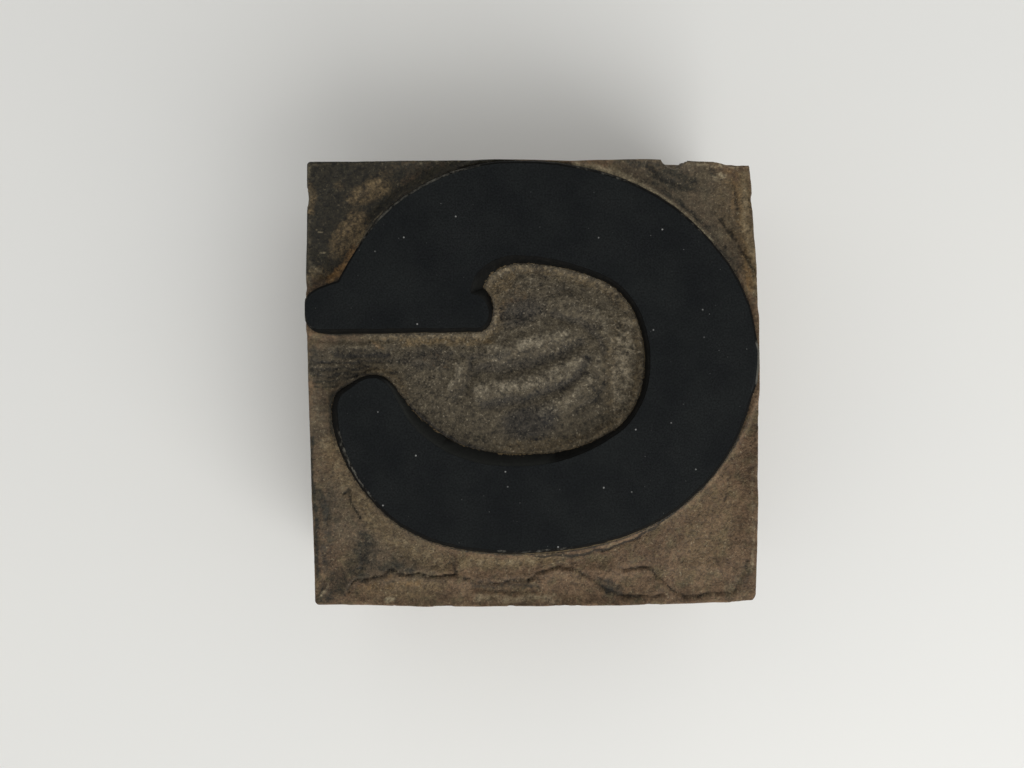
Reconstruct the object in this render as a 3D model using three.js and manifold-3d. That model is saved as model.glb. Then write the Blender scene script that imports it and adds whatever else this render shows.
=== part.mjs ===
// A wooden letter stamp: a squat block of end-grain hardwood that carries one raised letter. The letter
// is a plate glued to a seat left standing on the block. The ground round the seat and inside the letter's
// counter is cut back with a gouge, and dried ink covers the printing face.
// Millimetres, +Z up. The origin is the middle of the foot. +X runs to the letter's flank, +Y to its crown.
import * as THREE from "three";
import { mergeVertices } from "three/addons/utils/BufferGeometryUtils.js";
import Module from "manifold-3d";

const wasm = await Module();
wasm.setup();

// Body
const bodyWidth = 50.6; // along X, twelve lines of pica
const bodyDepth = 50.6; // along Y
const stampHeight = 23.3; // from the foot to the printing face
const uprightRound = 0.6; // worn radius of the four upright edges
const groundDrop = 0.45; // the seat stands this far above the ground
const ledge = 0.2; // the seat shows this far round the foot of the letter

// Layers on the seat
const plateThickness = 1.6;
const glueThickness = 0.12;
const inkThickness = 0.12;
const plateEdgeWear = 0.2; // rubbed-off corner round the plate's top
const glueInset = 0.4; // the glue stops this far inside the plate's foot
const inkInset = 0.28; // the ink stops this far inside the letter's outline

// How far the letter's walls lean out over the thickness of the plate
const outerLean = 0.5;
const heelLean = 0.9; // beside the heel of the lower terminal
const barLean = 0.22; // round the outer end of the bar
const counterLean = 0.12;
const crownLean = 0.4; // inside the counter, under the crown
const notchLean = 1.1; // in the notch over the spur, which a round cutter cannot reach
const easedLean = 1.0; // lower left of the counter, where the cutter ran out at a slope

// Letter's box, measured in from the sides of the body
const crownMargin = 0.55;
const flankMargin = 0.35;
const beard = 6.5; // below the letter
const heelMargin = 3.3; // beside the lower terminal

// Strokes
const crownStroke = 10.8;
const flankStroke = 12.2;
const footStroke = 9.85;
const bowlAxisShift = 1.7; // crown and foot lie this far to the left of the body's middle
const flankRise = 3.5; // height of the flank's widest point over the body's middle

// Bar, whose outer end ran past the side of the body and was trimmed flush with it
const barOverrun = 0.25;
const barDrop = 18.79; // from the crown to the bar's underside
const barLength = 20.95;
const barEndRound = 1.85;
const barEndRise = 2.6; // outermost point of the bar over its underside
const spurRound = 1.6; // lower corner of the inner spur
const spurRise = 1.9; // tip of the inner spur over the bar's underside
const innerNotch = [2.0, 4.2]; // back from the spur's tip, up from the bar's underside
const outerNotch = [3.9, 5.6]; // in from the bar's end, up from the bar's underside

// Lower terminal
const aperture = 4.95; // clear opening under the bar
const tipSetback = 4.2; // top of the terminal, in from the heel
const heelDrop = 3.55; // outermost point of the heel below the terminal's top
const tipShoulder = [0.8, 1.7]; // in from the heel, down from the terminal's top
const tipInside = [6.65, 1.8]; // in from the heel, down from the terminal's top

// Rounded shoulders, each measured in from the nearest corner of the letter's box or of its counter
const crownRightShoulder = [7.2, 6.85];
const crownLeftShoulder = [10.0, 4.85];
const footRightShoulder = [8.9, 4.85];
const footLeftShoulder = [4.6, 5.35];
const counterCrownShoulder = [4.75, 2.35];
const counterFootShoulder = [3.55, 3.5];
const counterHeelShoulder = [9.5, 3.75];

// Gouge strokes on the open ground: which side in X and in Y, how far in from those sides, the turn in
// degrees, then the stroke's length, width and depth
const groundStrokes = [
  [-1, 1, 0, 0, 45, 28, 20, 0.4],
  [-1, 1, 3.5, 4.6, 60, 11, 6.4, 0.45],
  [-1, 1, 7.0, 3.7, 25, 5.2, 2.2, 0.5],
  [-1, 1, 4.7, 8.2, 55, 5.6, 2.6, 0.55],
  [1, 1, 0, 0, -45, 28, 22, 0.9],
  [1, 1, 6.0, 4.2, -48, 11, 4.2, 0.6],
  [1, 1, 2.4, 10.6, -72, 13, 3.4, 0.4],
  [1, -1, 0, 0, 45, 28, 22, 0.6],
  [1, -1, 5.6, 8.6, 50, 14, 8.0, 0.5],
  [1, -1, 13.8, 3.0, 18, 7.4, 4.4, 0.5],
  [1, -1, 6.6, 2.6, -8, 8.6, 4.2, 0.6],
  [1, -1, 1.4, 17.5, 88, 13, 2.6, 0.35],
  [1, -1, 20.8, 2.3, -4, 8.8, 4.0, 0.5],
  [1, -1, 20.6, 5.2, 3, 9.4, 3.4, 0.35],
  [-1, -1, 0, 0, -45, 28, 22, 1.0],
  [-1, -1, 21.6, 4.7, 0, 10.2, 3.4, 0.4],
  [-1, -1, 21.8, 1.6, 0, 10.4, 3.8, 0.5],
  [-1, -1, 12.8, 5.9, -12, 9.2, 3.8, 0.4],
  [-1, -1, 11.8, 2.1, 4, 10.4, 4.2, 0.55],
  [-1, -1, 5.8, 2.0, 20, 5.0, 3.0, 0.7],
  [-1, -1, 3.1, 5.8, 82, 9.5, 5.0, 0.8],
  [-1, -1, 3.4, 12.8, 74, 8.5, 4.2, 0.45],
  [-1, -1, 1.7, 20.3, 88, 11, 3.0, 0.35],
];

// Cutter passes inside the letter: place from the middle of the counter, turn, length, width and depth
const counterStrokes = [
  [2.0, 5.2, 10, 11, 2.8, 0.22],
  [-1.0, 2.0, 14, 12, 2.8, 0.22],
  [-2.5, -1.3, 12, 13, 2.8, 0.22],
  [1.5, -4.3, 18, 12, 2.8, 0.22],
  [-3.0, -6.4, 8, 9, 2.6, 0.22],
  [-21.0, 0.8, 0, 14, 4.4, 0.25],
];

// Broken places on the upper edges: side in X and in Y, in from those sides, then size along X, Y and Z
const chips = [
  [1, 1, 9.3, 0, 2.4, 1.8, 2.4],
  [-1, 1, 0, 3.9, 0.9, 2.0, 1.6],
  [1, -1, 0, 0, 1.4, 1.4, 2.6],
];

// Letter's crown and foot along Y, and the levels of the layers along Z
const crown = bodyDepth / 2 - crownMargin;
const foot = beard - bodyDepth / 2;
const plateTop = stampHeight - inkThickness;
const plateFoot = plateTop - plateThickness;
const seatLevel = plateFoot - glueThickness;
const groundLevel = seatLevel - groundDrop;

// Fineness of the facets
const turnStep = THREE.MathUtils.degToRad(5); // turn from one chord of the letter's outline to the next
const roundSegments = 4; // on each upright edge
const ballSegments = 18;
const ballRings = 12;
const strokeBluntness = 2; // radius of a stroke's section over its depth, which sets how steeply it enters

// A closed geometry as a solid that can be joined and cut.
function solidOf(geometry) {
  const bare = new THREE.BufferGeometry().setAttribute("position", geometry.getAttribute("position"));
  bare.setIndex(geometry.index);
  const merged = mergeVertices(bare);
  const vertProperties = merged.getAttribute("position").array;
  const triVerts = new Uint32Array(merged.index.array);
  return new wasm.Manifold(new wasm.Mesh({ numProp: 3, vertProperties, triVerts }));
}

// A solid back as a geometry that a mesh can hold.
function geometryOf(solid) {
  const { vertProperties, triVerts } = solid.getMesh();
  const geometry = new THREE.BufferGeometry();
  geometry.setAttribute("position", new THREE.BufferAttribute(vertProperties, 3));
  geometry.setIndex(new THREE.BufferAttribute(triVerts, 1));
  geometry.computeVertexNormals();
  return geometry;
}

// Direction of travel for a heading in degrees, anticlockwise from +X.
function direction(heading) {
  const angle = THREE.MathUtils.degToRad(heading);
  return new THREE.Vector2(Math.cos(angle), Math.sin(angle));
}

// A knot of the letter's outline: its place, the headings at which the outline arrives and leaves, and the
// lean of the wall below it.
function knot(x, y, arrive, lean, leave = arrive) {
  return { at: new THREE.Vector2(x, y), arrive, leave, lean };
}

// The knots of the letter's outline, anticlockwise from the outer end of the bar's underside.
function letterKnots() {
  const end = -bodyWidth / 2 - barOverrun;
  const flank = bodyWidth / 2 - flankMargin;
  const heel = heelMargin - bodyWidth / 2;
  const axis = -bowlAxisShift;
  const bar = crown - barDrop;
  const spur = end + barLength;
  const tip = bar - aperture;
  const counterCrown = crown - crownStroke;
  const counterFlank = flank - flankStroke;
  const counterFoot = foot + footStroke;
  return [
    knot(end + barEndRound, bar, 0, barLean),
    knot(spur - spurRound, bar, 0, counterLean),
    knot(spur, bar + spurRise, 90, counterLean),
    knot(spur - innerNotch[0], bar + innerNotch[1], 180, notchLean, 86),
    knot(axis, counterCrown, 0, crownLean),
    knot(counterFlank - counterCrownShoulder[0], counterCrown - counterCrownShoulder[1], -25, counterLean),
    knot(counterFlank, (counterCrown + counterFoot) / 2, -90, counterLean),
    knot(counterFlank - counterFootShoulder[0], counterFoot + counterFootShoulder[1], -144, counterLean),
    knot(axis, counterFoot, 180, easedLean),
    knot(heel + counterHeelShoulder[0], counterFoot + counterHeelShoulder[1], 136, easedLean),
    knot(heel + tipInside[0], tip - tipInside[1], 119, counterLean),
    knot(heel + tipSetback, tip, 180, counterLean),
    knot(heel + tipShoulder[0], tip - tipShoulder[1], 215, outerLean),
    knot(heel, tip - heelDrop, 270, heelLean),
    knot(heel + footLeftShoulder[0], foot + footLeftShoulder[1], -48, outerLean),
    knot(axis, foot, 0, outerLean),
    knot(flank - footRightShoulder[0], foot + footRightShoulder[1], 36, outerLean),
    knot(flank, flankRise, 90, outerLean),
    knot(flank - crownRightShoulder[0], crown - crownRightShoulder[1], 137, outerLean),
    knot(axis, crown, 180, outerLean),
    knot(end + crownLeftShoulder[0], crown - crownLeftShoulder[1], 219, outerLean),
    knot(end + outerNotch[0], bar + outerNotch[1], 241, barLean, 190),
    knot(end, bar + barEndRise, 270, barLean),
  ];
}

// The angle between two headings in degrees, in radians.
function turnBetween(leave, arrive) {
  const degrees = THREE.MathUtils.euclideanModulo(arrive - leave + 180, 360) - 180;
  return THREE.MathUtils.degToRad(Math.abs(degrees));
}

// The stretch from one knot to the next: a cubic whose handles are those of the arc that turns as much.
function stretchBetween(from, to) {
  const turn = turnBetween(from.leave, to.arrive);
  const chord = from.at.distanceTo(to.at);
  const reach = turn > 0 ? ((2 / 3) * chord * Math.tan(turn / 4)) / Math.sin(turn / 2) : chord / 3;
  const leaving = direction(from.leave).multiplyScalar(reach).add(from.at);
  const arriving = direction(to.arrive).multiplyScalar(-reach).add(to.at);
  const steps = Math.max(1, Math.ceil(turn / turnStep));
  return { curve: new THREE.CubicBezierCurve(from.at, leaving, arriving, to.at), steps };
}

// Points round the letter's outline, each with the lean of the wall below it.
function letterOutline() {
  const knots = letterKnots();
  return knots.flatMap((from, i) => {
    const to = knots[(i + 1) % knots.length];
    const { curve, steps } = stretchBetween(from, to);
    const points = curve.getSpacedPoints(steps).slice(0, -1);
    return points.map((at, k) => ({ at, lean: THREE.MathUtils.lerp(from.lean, to.lean, k / steps) }));
  });
}

const outline = letterOutline();

// The outline moved outwards by `share` of each point's lean and a further `distance`, at a height.
function ringAt(height, share, distance) {
  const points = outline.map((point, i) => {
    const before = outline.at(i - 1).at;
    const after = outline[(i + 1) % outline.length].at;
    const along = after.clone().sub(before).normalize();
    const outward = new THREE.Vector2(along.y, -along.x);
    return outward.multiplyScalar(share * point.lean + distance).add(point.at);
  });
  return { height, points };
}

// A closed skin through rings of equal length, listed from the lowest up, with a cap on the first and last.
function loft(rings) {
  const count = rings[0].points.length;
  const positions = rings.flatMap(({ height, points }) => points.flatMap(({ x, y }) => [x, y, height]));
  const index = [];
  for (let ring = 1; ring < rings.length; ring += 1) {
    for (let i = 0; i < count; i += 1) {
      const next = (i + 1) % count;
      const [a, b] = [(ring - 1) * count + i, (ring - 1) * count + next];
      const [c, d] = [ring * count + next, ring * count + i];
      index.push(a, b, c, a, c, d);
    }
  }
  const top = (rings.length - 1) * count;
  for (const [a, b, c] of THREE.ShapeUtils.triangulateShape(rings[0].points, [])) {
    index.push(a, c, b);
  }
  for (const [a, b, c] of THREE.ShapeUtils.triangulateShape(rings.at(-1).points, [])) {
    index.push(top + a, top + b, top + c);
  }
  const geometry = new THREE.BufferGeometry();
  geometry.setAttribute("position", new THREE.Float32BufferAttribute(positions, 3));
  geometry.setIndex(index);
  return geometry;
}

// The body's plan with its worn upright edges, raised from one height to another.
function bodyPrism(from, to) {
  const [x, y, r] = [bodyWidth / 2, bodyDepth / 2, uprightRound];
  const plan = new THREE.Shape();
  plan.absarc(x - r, y - r, r, 0, Math.PI / 2);
  plan.absarc(r - x, y - r, r, Math.PI / 2, Math.PI);
  plan.absarc(r - x, r - y, r, Math.PI, 1.5 * Math.PI);
  plan.absarc(x - r, r - y, r, 1.5 * Math.PI, 2 * Math.PI);
  const options = { depth: to - from, bevelEnabled: false, curveSegments: roundSegments };
  return solidOf(new THREE.ExtrudeGeometry(plan, options).translate(0, 0, from));
}

// The part of a loft that stays inside the sides of the body, where the stamp was trimmed flush.
function trimmedLoft(rings) {
  return solidOf(loft(rings)).intersect(bodyPrism(rings[0].height - 1, rings.at(-1).height + 1));
}

const ball = new THREE.SphereGeometry(1, ballSegments, ballRings);
const weldedBall = mergeVertices(ball.deleteAttribute("normal").deleteAttribute("uv"));

// A ball drawn out along each axis, turned about Z by an angle in degrees and set in place.
function ellipsoid(centre, radii, turn = 0) {
  const spin = new THREE.Quaternion();
  spin.setFromAxisAngle(new THREE.Vector3(0, 0, 1), THREE.MathUtils.degToRad(turn));
  return solidOf(weldedBall.clone().applyMatrix4(new THREE.Matrix4().compose(centre, spin, radii)));
}

// One gouge stroke: the bottom of a blunt ellipsoid that is `long` by `wide` where it enters the ground.
function stroke(x, y, turn, long, wide, deep) {
  const sunk = 1 - 1 / strokeBluntness;
  const spread = 2 * Math.sqrt(1 - sunk * sunk);
  const radii = new THREE.Vector3(long / spread, wide / spread, deep * strokeBluntness);
  return ellipsoid(new THREE.Vector3(x, y, groundLevel + deep * (strokeBluntness - 1)), radii, turn);
}

// One broken place, whose middle lies at the level of the ground.
function chip(x, y, ...size) {
  const radii = new THREE.Vector3(...size).divideScalar(2);
  return ellipsoid(new THREE.Vector3(x, y, groundLevel), radii);
}

// A place given from one side of the body in X and one in Y.
function fromSides(sideX, sideY, inX, inY) {
  return [sideX * (bodyWidth / 2 - inX), sideY * (bodyDepth / 2 - inY)];
}

function cutsInGround() {
  const letterMiddle = (crown + foot) / 2;
  return [
    ...groundStrokes.map((row) => stroke(...fromSides(...row), ...row.slice(4))),
    ...counterStrokes.map(([x, y, ...size]) => stroke(x, letterMiddle + y, ...size)),
    ...chips.map((row) => chip(...fromSides(...row), ...row.slice(4))),
  ];
}

// The block with its gouged ground and the seat that was left standing for the letter.
function bodyBlock() {
  const deepest = groundLevel - Math.max(...groundStrokes.map((cut) => cut.at(-1)));
  const seat = trimmedLoft([ringAt(deepest - ledge, 1, ledge), ringAt(seatLevel, 1, ledge)]);
  let ground = bodyPrism(0, groundLevel);
  for (const cut of cutsInGround()) {
    ground = ground.subtract(cut);
  }
  return geometryOf(ground.add(seat));
}

function glueFilm() {
  return geometryOf(trimmedLoft([ringAt(seatLevel, 1, -glueInset), ringAt(plateFoot, 1, -glueInset)]));
}

function letterPlate() {
  const wall = [ringAt(plateFoot, 1, 0), ringAt(plateTop - plateEdgeWear, 0, 0)];
  return geometryOf(trimmedLoft([...wall, ringAt(plateTop, 0, -plateEdgeWear)]));
}

function inkFilm() {
  return geometryOf(trimmedLoft([ringAt(plateTop, 0, -inkInset), ringAt(stampHeight, 0, -inkInset)]));
}

function piece(name, geometry, color, roughness) {
  const material = new THREE.MeshStandardMaterial({ color, roughness, metalness: 0 });
  const mesh = new THREE.Mesh(geometry, material);
  mesh.name = name;
  return mesh;
}

const letterStamp = new THREE.Group();
letterStamp.add(
  piece("body_block", bodyBlock(), 0x5f503f, 0.85),
  piece("glue_film", glueFilm(), 0x6b5230, 0.5),
  piece("letter_plate", letterPlate(), 0x24241f, 0.7),
  piece("ink_film", inkFilm(), 0x1c1e1f, 0.6),
);

export default letterStamp;
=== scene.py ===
"""A wooden letter stamp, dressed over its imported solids.

The block's gouged ground, the letter's plate and its ink are modelled again in finer detail, and every
piece gets a procedural finish. Sizes are in millimetres and become metres where a mesh, a lamp or a
camera takes them.
"""

import itertools
import logging
import math
from collections.abc import Callable
from dataclasses import dataclass, field
from enum import Enum
from typing import Any, NamedTuple

import bmesh
import bpy
import numpy as np
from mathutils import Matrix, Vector, noise
from mathutils.bvhtree import BVHTree


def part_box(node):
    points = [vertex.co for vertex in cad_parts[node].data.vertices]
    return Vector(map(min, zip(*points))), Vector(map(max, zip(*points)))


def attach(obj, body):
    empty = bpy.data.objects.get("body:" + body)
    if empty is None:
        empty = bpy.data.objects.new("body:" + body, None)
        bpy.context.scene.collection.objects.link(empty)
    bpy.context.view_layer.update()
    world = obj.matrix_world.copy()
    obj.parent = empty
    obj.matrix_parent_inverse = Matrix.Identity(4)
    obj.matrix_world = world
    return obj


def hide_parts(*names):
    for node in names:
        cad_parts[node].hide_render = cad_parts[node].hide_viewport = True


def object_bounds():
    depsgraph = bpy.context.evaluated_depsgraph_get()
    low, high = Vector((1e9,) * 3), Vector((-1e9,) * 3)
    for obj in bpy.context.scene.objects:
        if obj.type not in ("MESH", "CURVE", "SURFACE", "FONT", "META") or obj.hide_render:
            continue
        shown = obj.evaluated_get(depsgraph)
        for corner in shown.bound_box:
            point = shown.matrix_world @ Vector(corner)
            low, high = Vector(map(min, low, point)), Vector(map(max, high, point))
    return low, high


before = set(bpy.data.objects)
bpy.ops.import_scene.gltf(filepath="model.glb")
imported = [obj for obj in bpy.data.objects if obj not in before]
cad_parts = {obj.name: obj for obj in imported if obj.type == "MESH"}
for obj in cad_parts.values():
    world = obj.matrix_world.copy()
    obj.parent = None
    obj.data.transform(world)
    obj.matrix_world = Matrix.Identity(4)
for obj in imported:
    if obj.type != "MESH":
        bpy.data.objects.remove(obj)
cad_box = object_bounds()

MM = 0.001
UP = Vector((0.0, 0.0, 1.0))
Colour = tuple[float, float, float]
Spot = tuple[float, float, float]
Path = tuple[tuple[float, float], ...]
Array = np.ndarray
log = logging.getLogger("letter_stamp")


class Plan(NamedTuple):
    """Places seen from above, in millimetres from the middle of the block."""

    x: Array
    y: Array


class Mark(Enum):
    """What is painted on the wood, each kept as one number per vertex: stains and wear, and some painted
    shade and painted highlights.
    """

    # soot and ink stains, and the painted shade along the letter's foot
    SOOT = "soot"
    WARM = "warm"
    RUST = "rust"
    # pale wear, dust and scratches, and a painted highlight on the ledge at the letter's foot
    PALE = "pale"
    GREY = "grey"
    DIRT = "dirt"
    SIDE = "side"
    # painted highlight along the letter's upper edge
    RIM = "rim"


Marks = dict[Mark, Array]


def linear(red: int, green: int, blue: int) -> Colour:
    """Turns a colour as seen on a screen, 0 to 255, into the linear colour that a shader takes.

    Args:
        red: Red as seen.
        green: Green as seen.
        blue: Blue as seen.

    Returns:
        The same colour with linear values from 0 to 1.
    """

    def channel(seen: int) -> float:
        """Undoes the screen curve of one channel."""
        part = seen / 255
        return part / 12.92 if part <= 0.04045 else ((part + 0.055) / 1.055) ** 2.4

    return channel(red), channel(green), channel(blue)


def fade(value: Array, start: float, end: float) -> Array:
    """Rises smoothly from 0 at start to 1 at end.

    Args:
        value: The numbers to grade.
        start: Where the result leaves 0.
        end: Where the result reaches 1.

    Returns:
        The graded numbers, from 0 to 1.
    """
    part = np.clip((value - start) / (end - start), 0, 1)
    return part * part * (3 - 2 * part)


def to_path(at: Plan, path: Path) -> tuple[Array, Array]:
    """Measures how far places are from a line of straight runs.

    Args:
        at: The places.
        path: The corners of the line.

    Returns:
        The distance to the line, and +1 on its left side or -1 on its right.
    """
    x, y = at
    near = np.full(x.shape, np.inf)
    side = np.ones(x.shape)
    for (ax, ay), (bx, by) in zip(path, path[1:]):
        run = math.hypot(bx - ax, by - ay)
        along = np.clip(((x - ax) * (bx - ax) + (y - ay) * (by - ay)) / run**2, 0, 1)
        gap = np.hypot(x - ax - along * (bx - ax), y - ay - along * (by - ay))
        left = np.sign((bx - ax) * (y - ay) - (by - ay) * (x - ax))
        side = np.where(gap < near, left, side)
        near = np.minimum(near, gap)
    return near, side


@dataclass(frozen=True)
class Ripple:
    """A layer of smooth random values over the plan: how strong, how wide a lump, and which pattern."""

    strength: float
    size: float
    seed: float

    def height(self, at: Plan) -> Array:
        """Gives the layer's values, which run to about plus and minus its strength."""
        values = [noise.noise((x / self.size, y / self.size, self.seed)) for x, y in zip(*at)]
        return self.strength * np.array(values)


def layered(ripples: tuple[Ripple, ...], at: Plan) -> Array:
    """Adds up layers of ripples at some places."""
    return np.sum([ripple.height(at) for ripple in ripples], axis=0)


def arithmetic(operation: str, turned: bool = False) -> Callable[["Signal", "Signal | float"], "Signal"]:
    """Makes a method of Signal that joins it to a signal or a number.

    Args:
        operation: The Math node's operation.
        turned: Whether the other value comes first.

    Returns:
        The method.
    """

    def joined(self: "Signal", other: "Signal | float") -> "Signal":
        """Adds the Math node."""
        return self.maths(operation, *((other, self) if turned else (self, other)))

    return joined


class Signal:
    """An output socket, with arithmetic that adds Math nodes."""

    def __init__(self, graph: "Graph", socket: bpy.types.NodeSocket) -> None:
        """Keeps the socket and the graph it belongs to."""
        self.graph = graph
        self.socket = socket

    def maths(self, operation: str, *values: "Signal | float") -> "Signal":
        """Adds one Math node that is fed by these values in order."""
        return self.graph.node("Math", {"operation": operation}, dict(enumerate(values)))

    __add__ = arithmetic("ADD")
    __radd__ = arithmetic("ADD", True)
    __sub__ = arithmetic("SUBTRACT")
    __rsub__ = arithmetic("SUBTRACT", True)
    __mul__ = arithmetic("MULTIPLY")
    __rmul__ = arithmetic("MULTIPLY", True)
    highest = arithmetic("MAXIMUM")

    def wave(self) -> "Signal":
        """Takes the sine."""
        return self.maths("SINE", self)

    def band(self, start: float, end: float) -> "Signal":
        """Rises smoothly from 0 at start to 1 at end, or falls where end is the lower."""
        inputs = {"Value": self, "From Min": start, "From Max": end}
        return self.graph.node("MapRange", {"interpolation_type": "SMOOTHSTEP"}, inputs)


class Graph:
    """The node tree of one material or of the sky."""

    def __init__(self, owner: bpy.types.Material | bpy.types.World) -> None:
        """Empties the owner's tree.

        Args:
            owner: The material or the sky.
        """
        self.owner = owner
        owner.use_nodes = True
        self.tree = owner.node_tree
        self.tree.nodes.clear()

    @classmethod
    def of_material(cls, name: str) -> "Graph":
        """Starts a material."""
        return cls(bpy.data.materials.new(name))

    def node(
        self,
        kind: str,
        settings: dict[str, Any] | None = None,
        inputs: dict[int | str, Any] | None = None,
        output: int | str = 0,
    ) -> Signal:
        """Adds a node.

        Args:
            kind: The node's type, without the word ShaderNode.
            settings: Its own properties, which are set first.
            inputs: Values or signals for its sockets.
            output: Which of its outputs to hand back.

        Returns:
            The output as a signal.
        """
        made = self.tree.nodes.new(f"ShaderNode{kind}")
        for name, value in (settings or {}).items():
            setattr(made, name, value)
        for key, value in (inputs or {}).items():
            if isinstance(value, Signal):
                self.tree.links.new(value.socket, made.inputs[key])
            else:
                made.inputs[key].default_value = value
        return Signal(self, made.outputs[output])

    def place(self, squeeze: Spot) -> Signal:
        """Gives the place on the piece in millimetres, times a factor along each axis."""
        spot = self.node("TexCoord", output="Object")
        return self.vectors("MULTIPLY", spot, tuple(part / MM for part in squeeze))

    def vectors(self, operation: str, first: Signal, second: Any) -> Signal:
        """Joins a vector with another one."""
        return self.node("VectorMath", {"operation": operation}, {0: first, 1: second})

    def mark(self, mark: Mark) -> Signal:
        """Reads one of the marks kept on the vertices."""
        return self.node("Attribute", {"attribute_name": mark.value}, output="Fac")

    def blend(self, factor: Signal | float, first: Any, second: Any) -> Signal:
        """Mixes two colours.

        Args:
            factor: How much of the second colour is used.
            first: A colour or a signal.
            second: A colour or a signal.

        Returns:
            The mixed colour.
        """
        pair = [value if isinstance(value, Signal) else (*value, 1.0) for value in (first, second)]
        return self.node("Mix", {"data_type": "RGBA"}, {0: factor, 6: pair[0], 7: pair[1]}, 2)

    def scaled(self, colour: Signal, factor: Signal) -> Signal:
        """Makes a colour lighter or darker by a factor."""
        return self.node("VectorMath", {"operation": "SCALE"}, {0: colour, "Scale": factor})

    def relief(self, height: Signal, depth: float, strength: float = 1.0) -> Signal:
        """Turns a height from 0 to 1 into a bumped normal that is depth millimetres high."""
        inputs = {"Height": height, "Distance": depth * MM, "Strength": strength}
        return self.node("Bump", None, inputs)

    def close(self, colour: Signal, roughness: Signal, normal: Signal, gloss: float) -> bpy.types.Material:
        """Ends the tree with one shader.

        Args:
            colour: The base colour.
            roughness: The roughness.
            normal: The bumped normal.
            gloss: The specular level.

        Returns:
            The finished material.
        """
        inputs = {"Base Color": colour, "Roughness": roughness, "Normal": normal, "Specular IOR Level": gloss}
        self.end("Material", self.node("BsdfPrincipled", None, inputs))
        return self.owner

    def end(self, kind: str, shader: Signal) -> None:
        """Joins a shader to a new output node of the tree."""
        out = self.tree.nodes.new(f"ShaderNodeOutput{kind}")
        self.tree.links.new(shader.socket, out.inputs["Surface"])


@dataclass(frozen=True)
class Cloud:
    """Soft noise on a piece.

    The size is how wide one lump is in millimetres, the detail how many finer layers it has and rough how
    strong these are. Squeeze is a factor along each axis. A graded cloud starts and is full at two levels
    of the noise, and covers a share of what lies below.
    """

    size: float
    detail: float = 3.0
    rough: float = 0.55
    squeeze: Spot = (1.0, 1.0, 1.0)
    start: float = 0.0
    full: float = 1.0
    cover: float = 1.0

    def plain(self, g: Graph) -> Signal:
        """Adds the noise to a tree, with values from 0 to 1.

        Args:
            g: The tree.

        Returns:
            The noise.
        """
        spot = g.place(self.squeeze)
        inputs = {"Vector": spot, "Scale": 1 / self.size, "Detail": self.detail, "Roughness": self.rough}
        return g.node("TexNoise", None, inputs, "Fac")

    def swing(self, g: Graph) -> Signal:
        """Adds the noise with values round 0."""
        return self.plain(g) - 0.5

    def graded(self, g: Graph) -> Signal:
        """Adds the noise with its levels and its share."""
        return self.plain(g).band(self.start, self.full) * self.cover


@dataclass(frozen=True)
class Dots:
    """Scattered dots: how far apart they lie, where each ends and is full, and the cloud they lie in."""

    gap: float
    end: float
    full: float
    cloud: Cloud

    def plain(self, g: Graph) -> Signal:
        """Adds the dots to a tree, with values from 0 to 1.

        Args:
            g: The tree.

        Returns:
            The dots.
        """
        inputs = {"Vector": g.place(self.cloud.squeeze), "Scale": 1 / self.gap}
        near = g.node("TexVoronoi", {"voronoi_dimensions": "2D"}, inputs, "Distance")
        return near.band(self.end, self.full) * self.cloud.graded(g)


@dataclass(frozen=True)
class Weight:
    """How much something counts on plain wood, and what the rough cut and the soot with its painted shade add
    to that.
    """

    plain: float
    rough_cut: float = 0.0
    soot: float = 0.0

    def at(self, rough_cut: Signal, soot: Signal) -> Signal:
        """Gives the weight under these two marks."""
        return self.plain + self.rough_cut * rough_cut + self.soot * soot


@dataclass(frozen=True)
class Spread:
    """How a mark shows: how far its edge frays, where it starts and is full, and how much it covers."""

    fray: float
    start: float
    full: float
    cover: float = 1.0

    def of(self, mark: Signal, edge: Signal) -> Signal:
        """Gives how much of the mark's colour shows, with its edge frayed by a noise round 0."""
        return (mark + edge * self.fray).band(self.start, self.full) * self.cover


# Factors that draw a noise out along the upright fibres, or keep it to the plan.
FIBRE: Spot = (1.0, 1.0, 0.05)
FLAT: Spot = (1.0, 1.0, 0.0)


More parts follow.
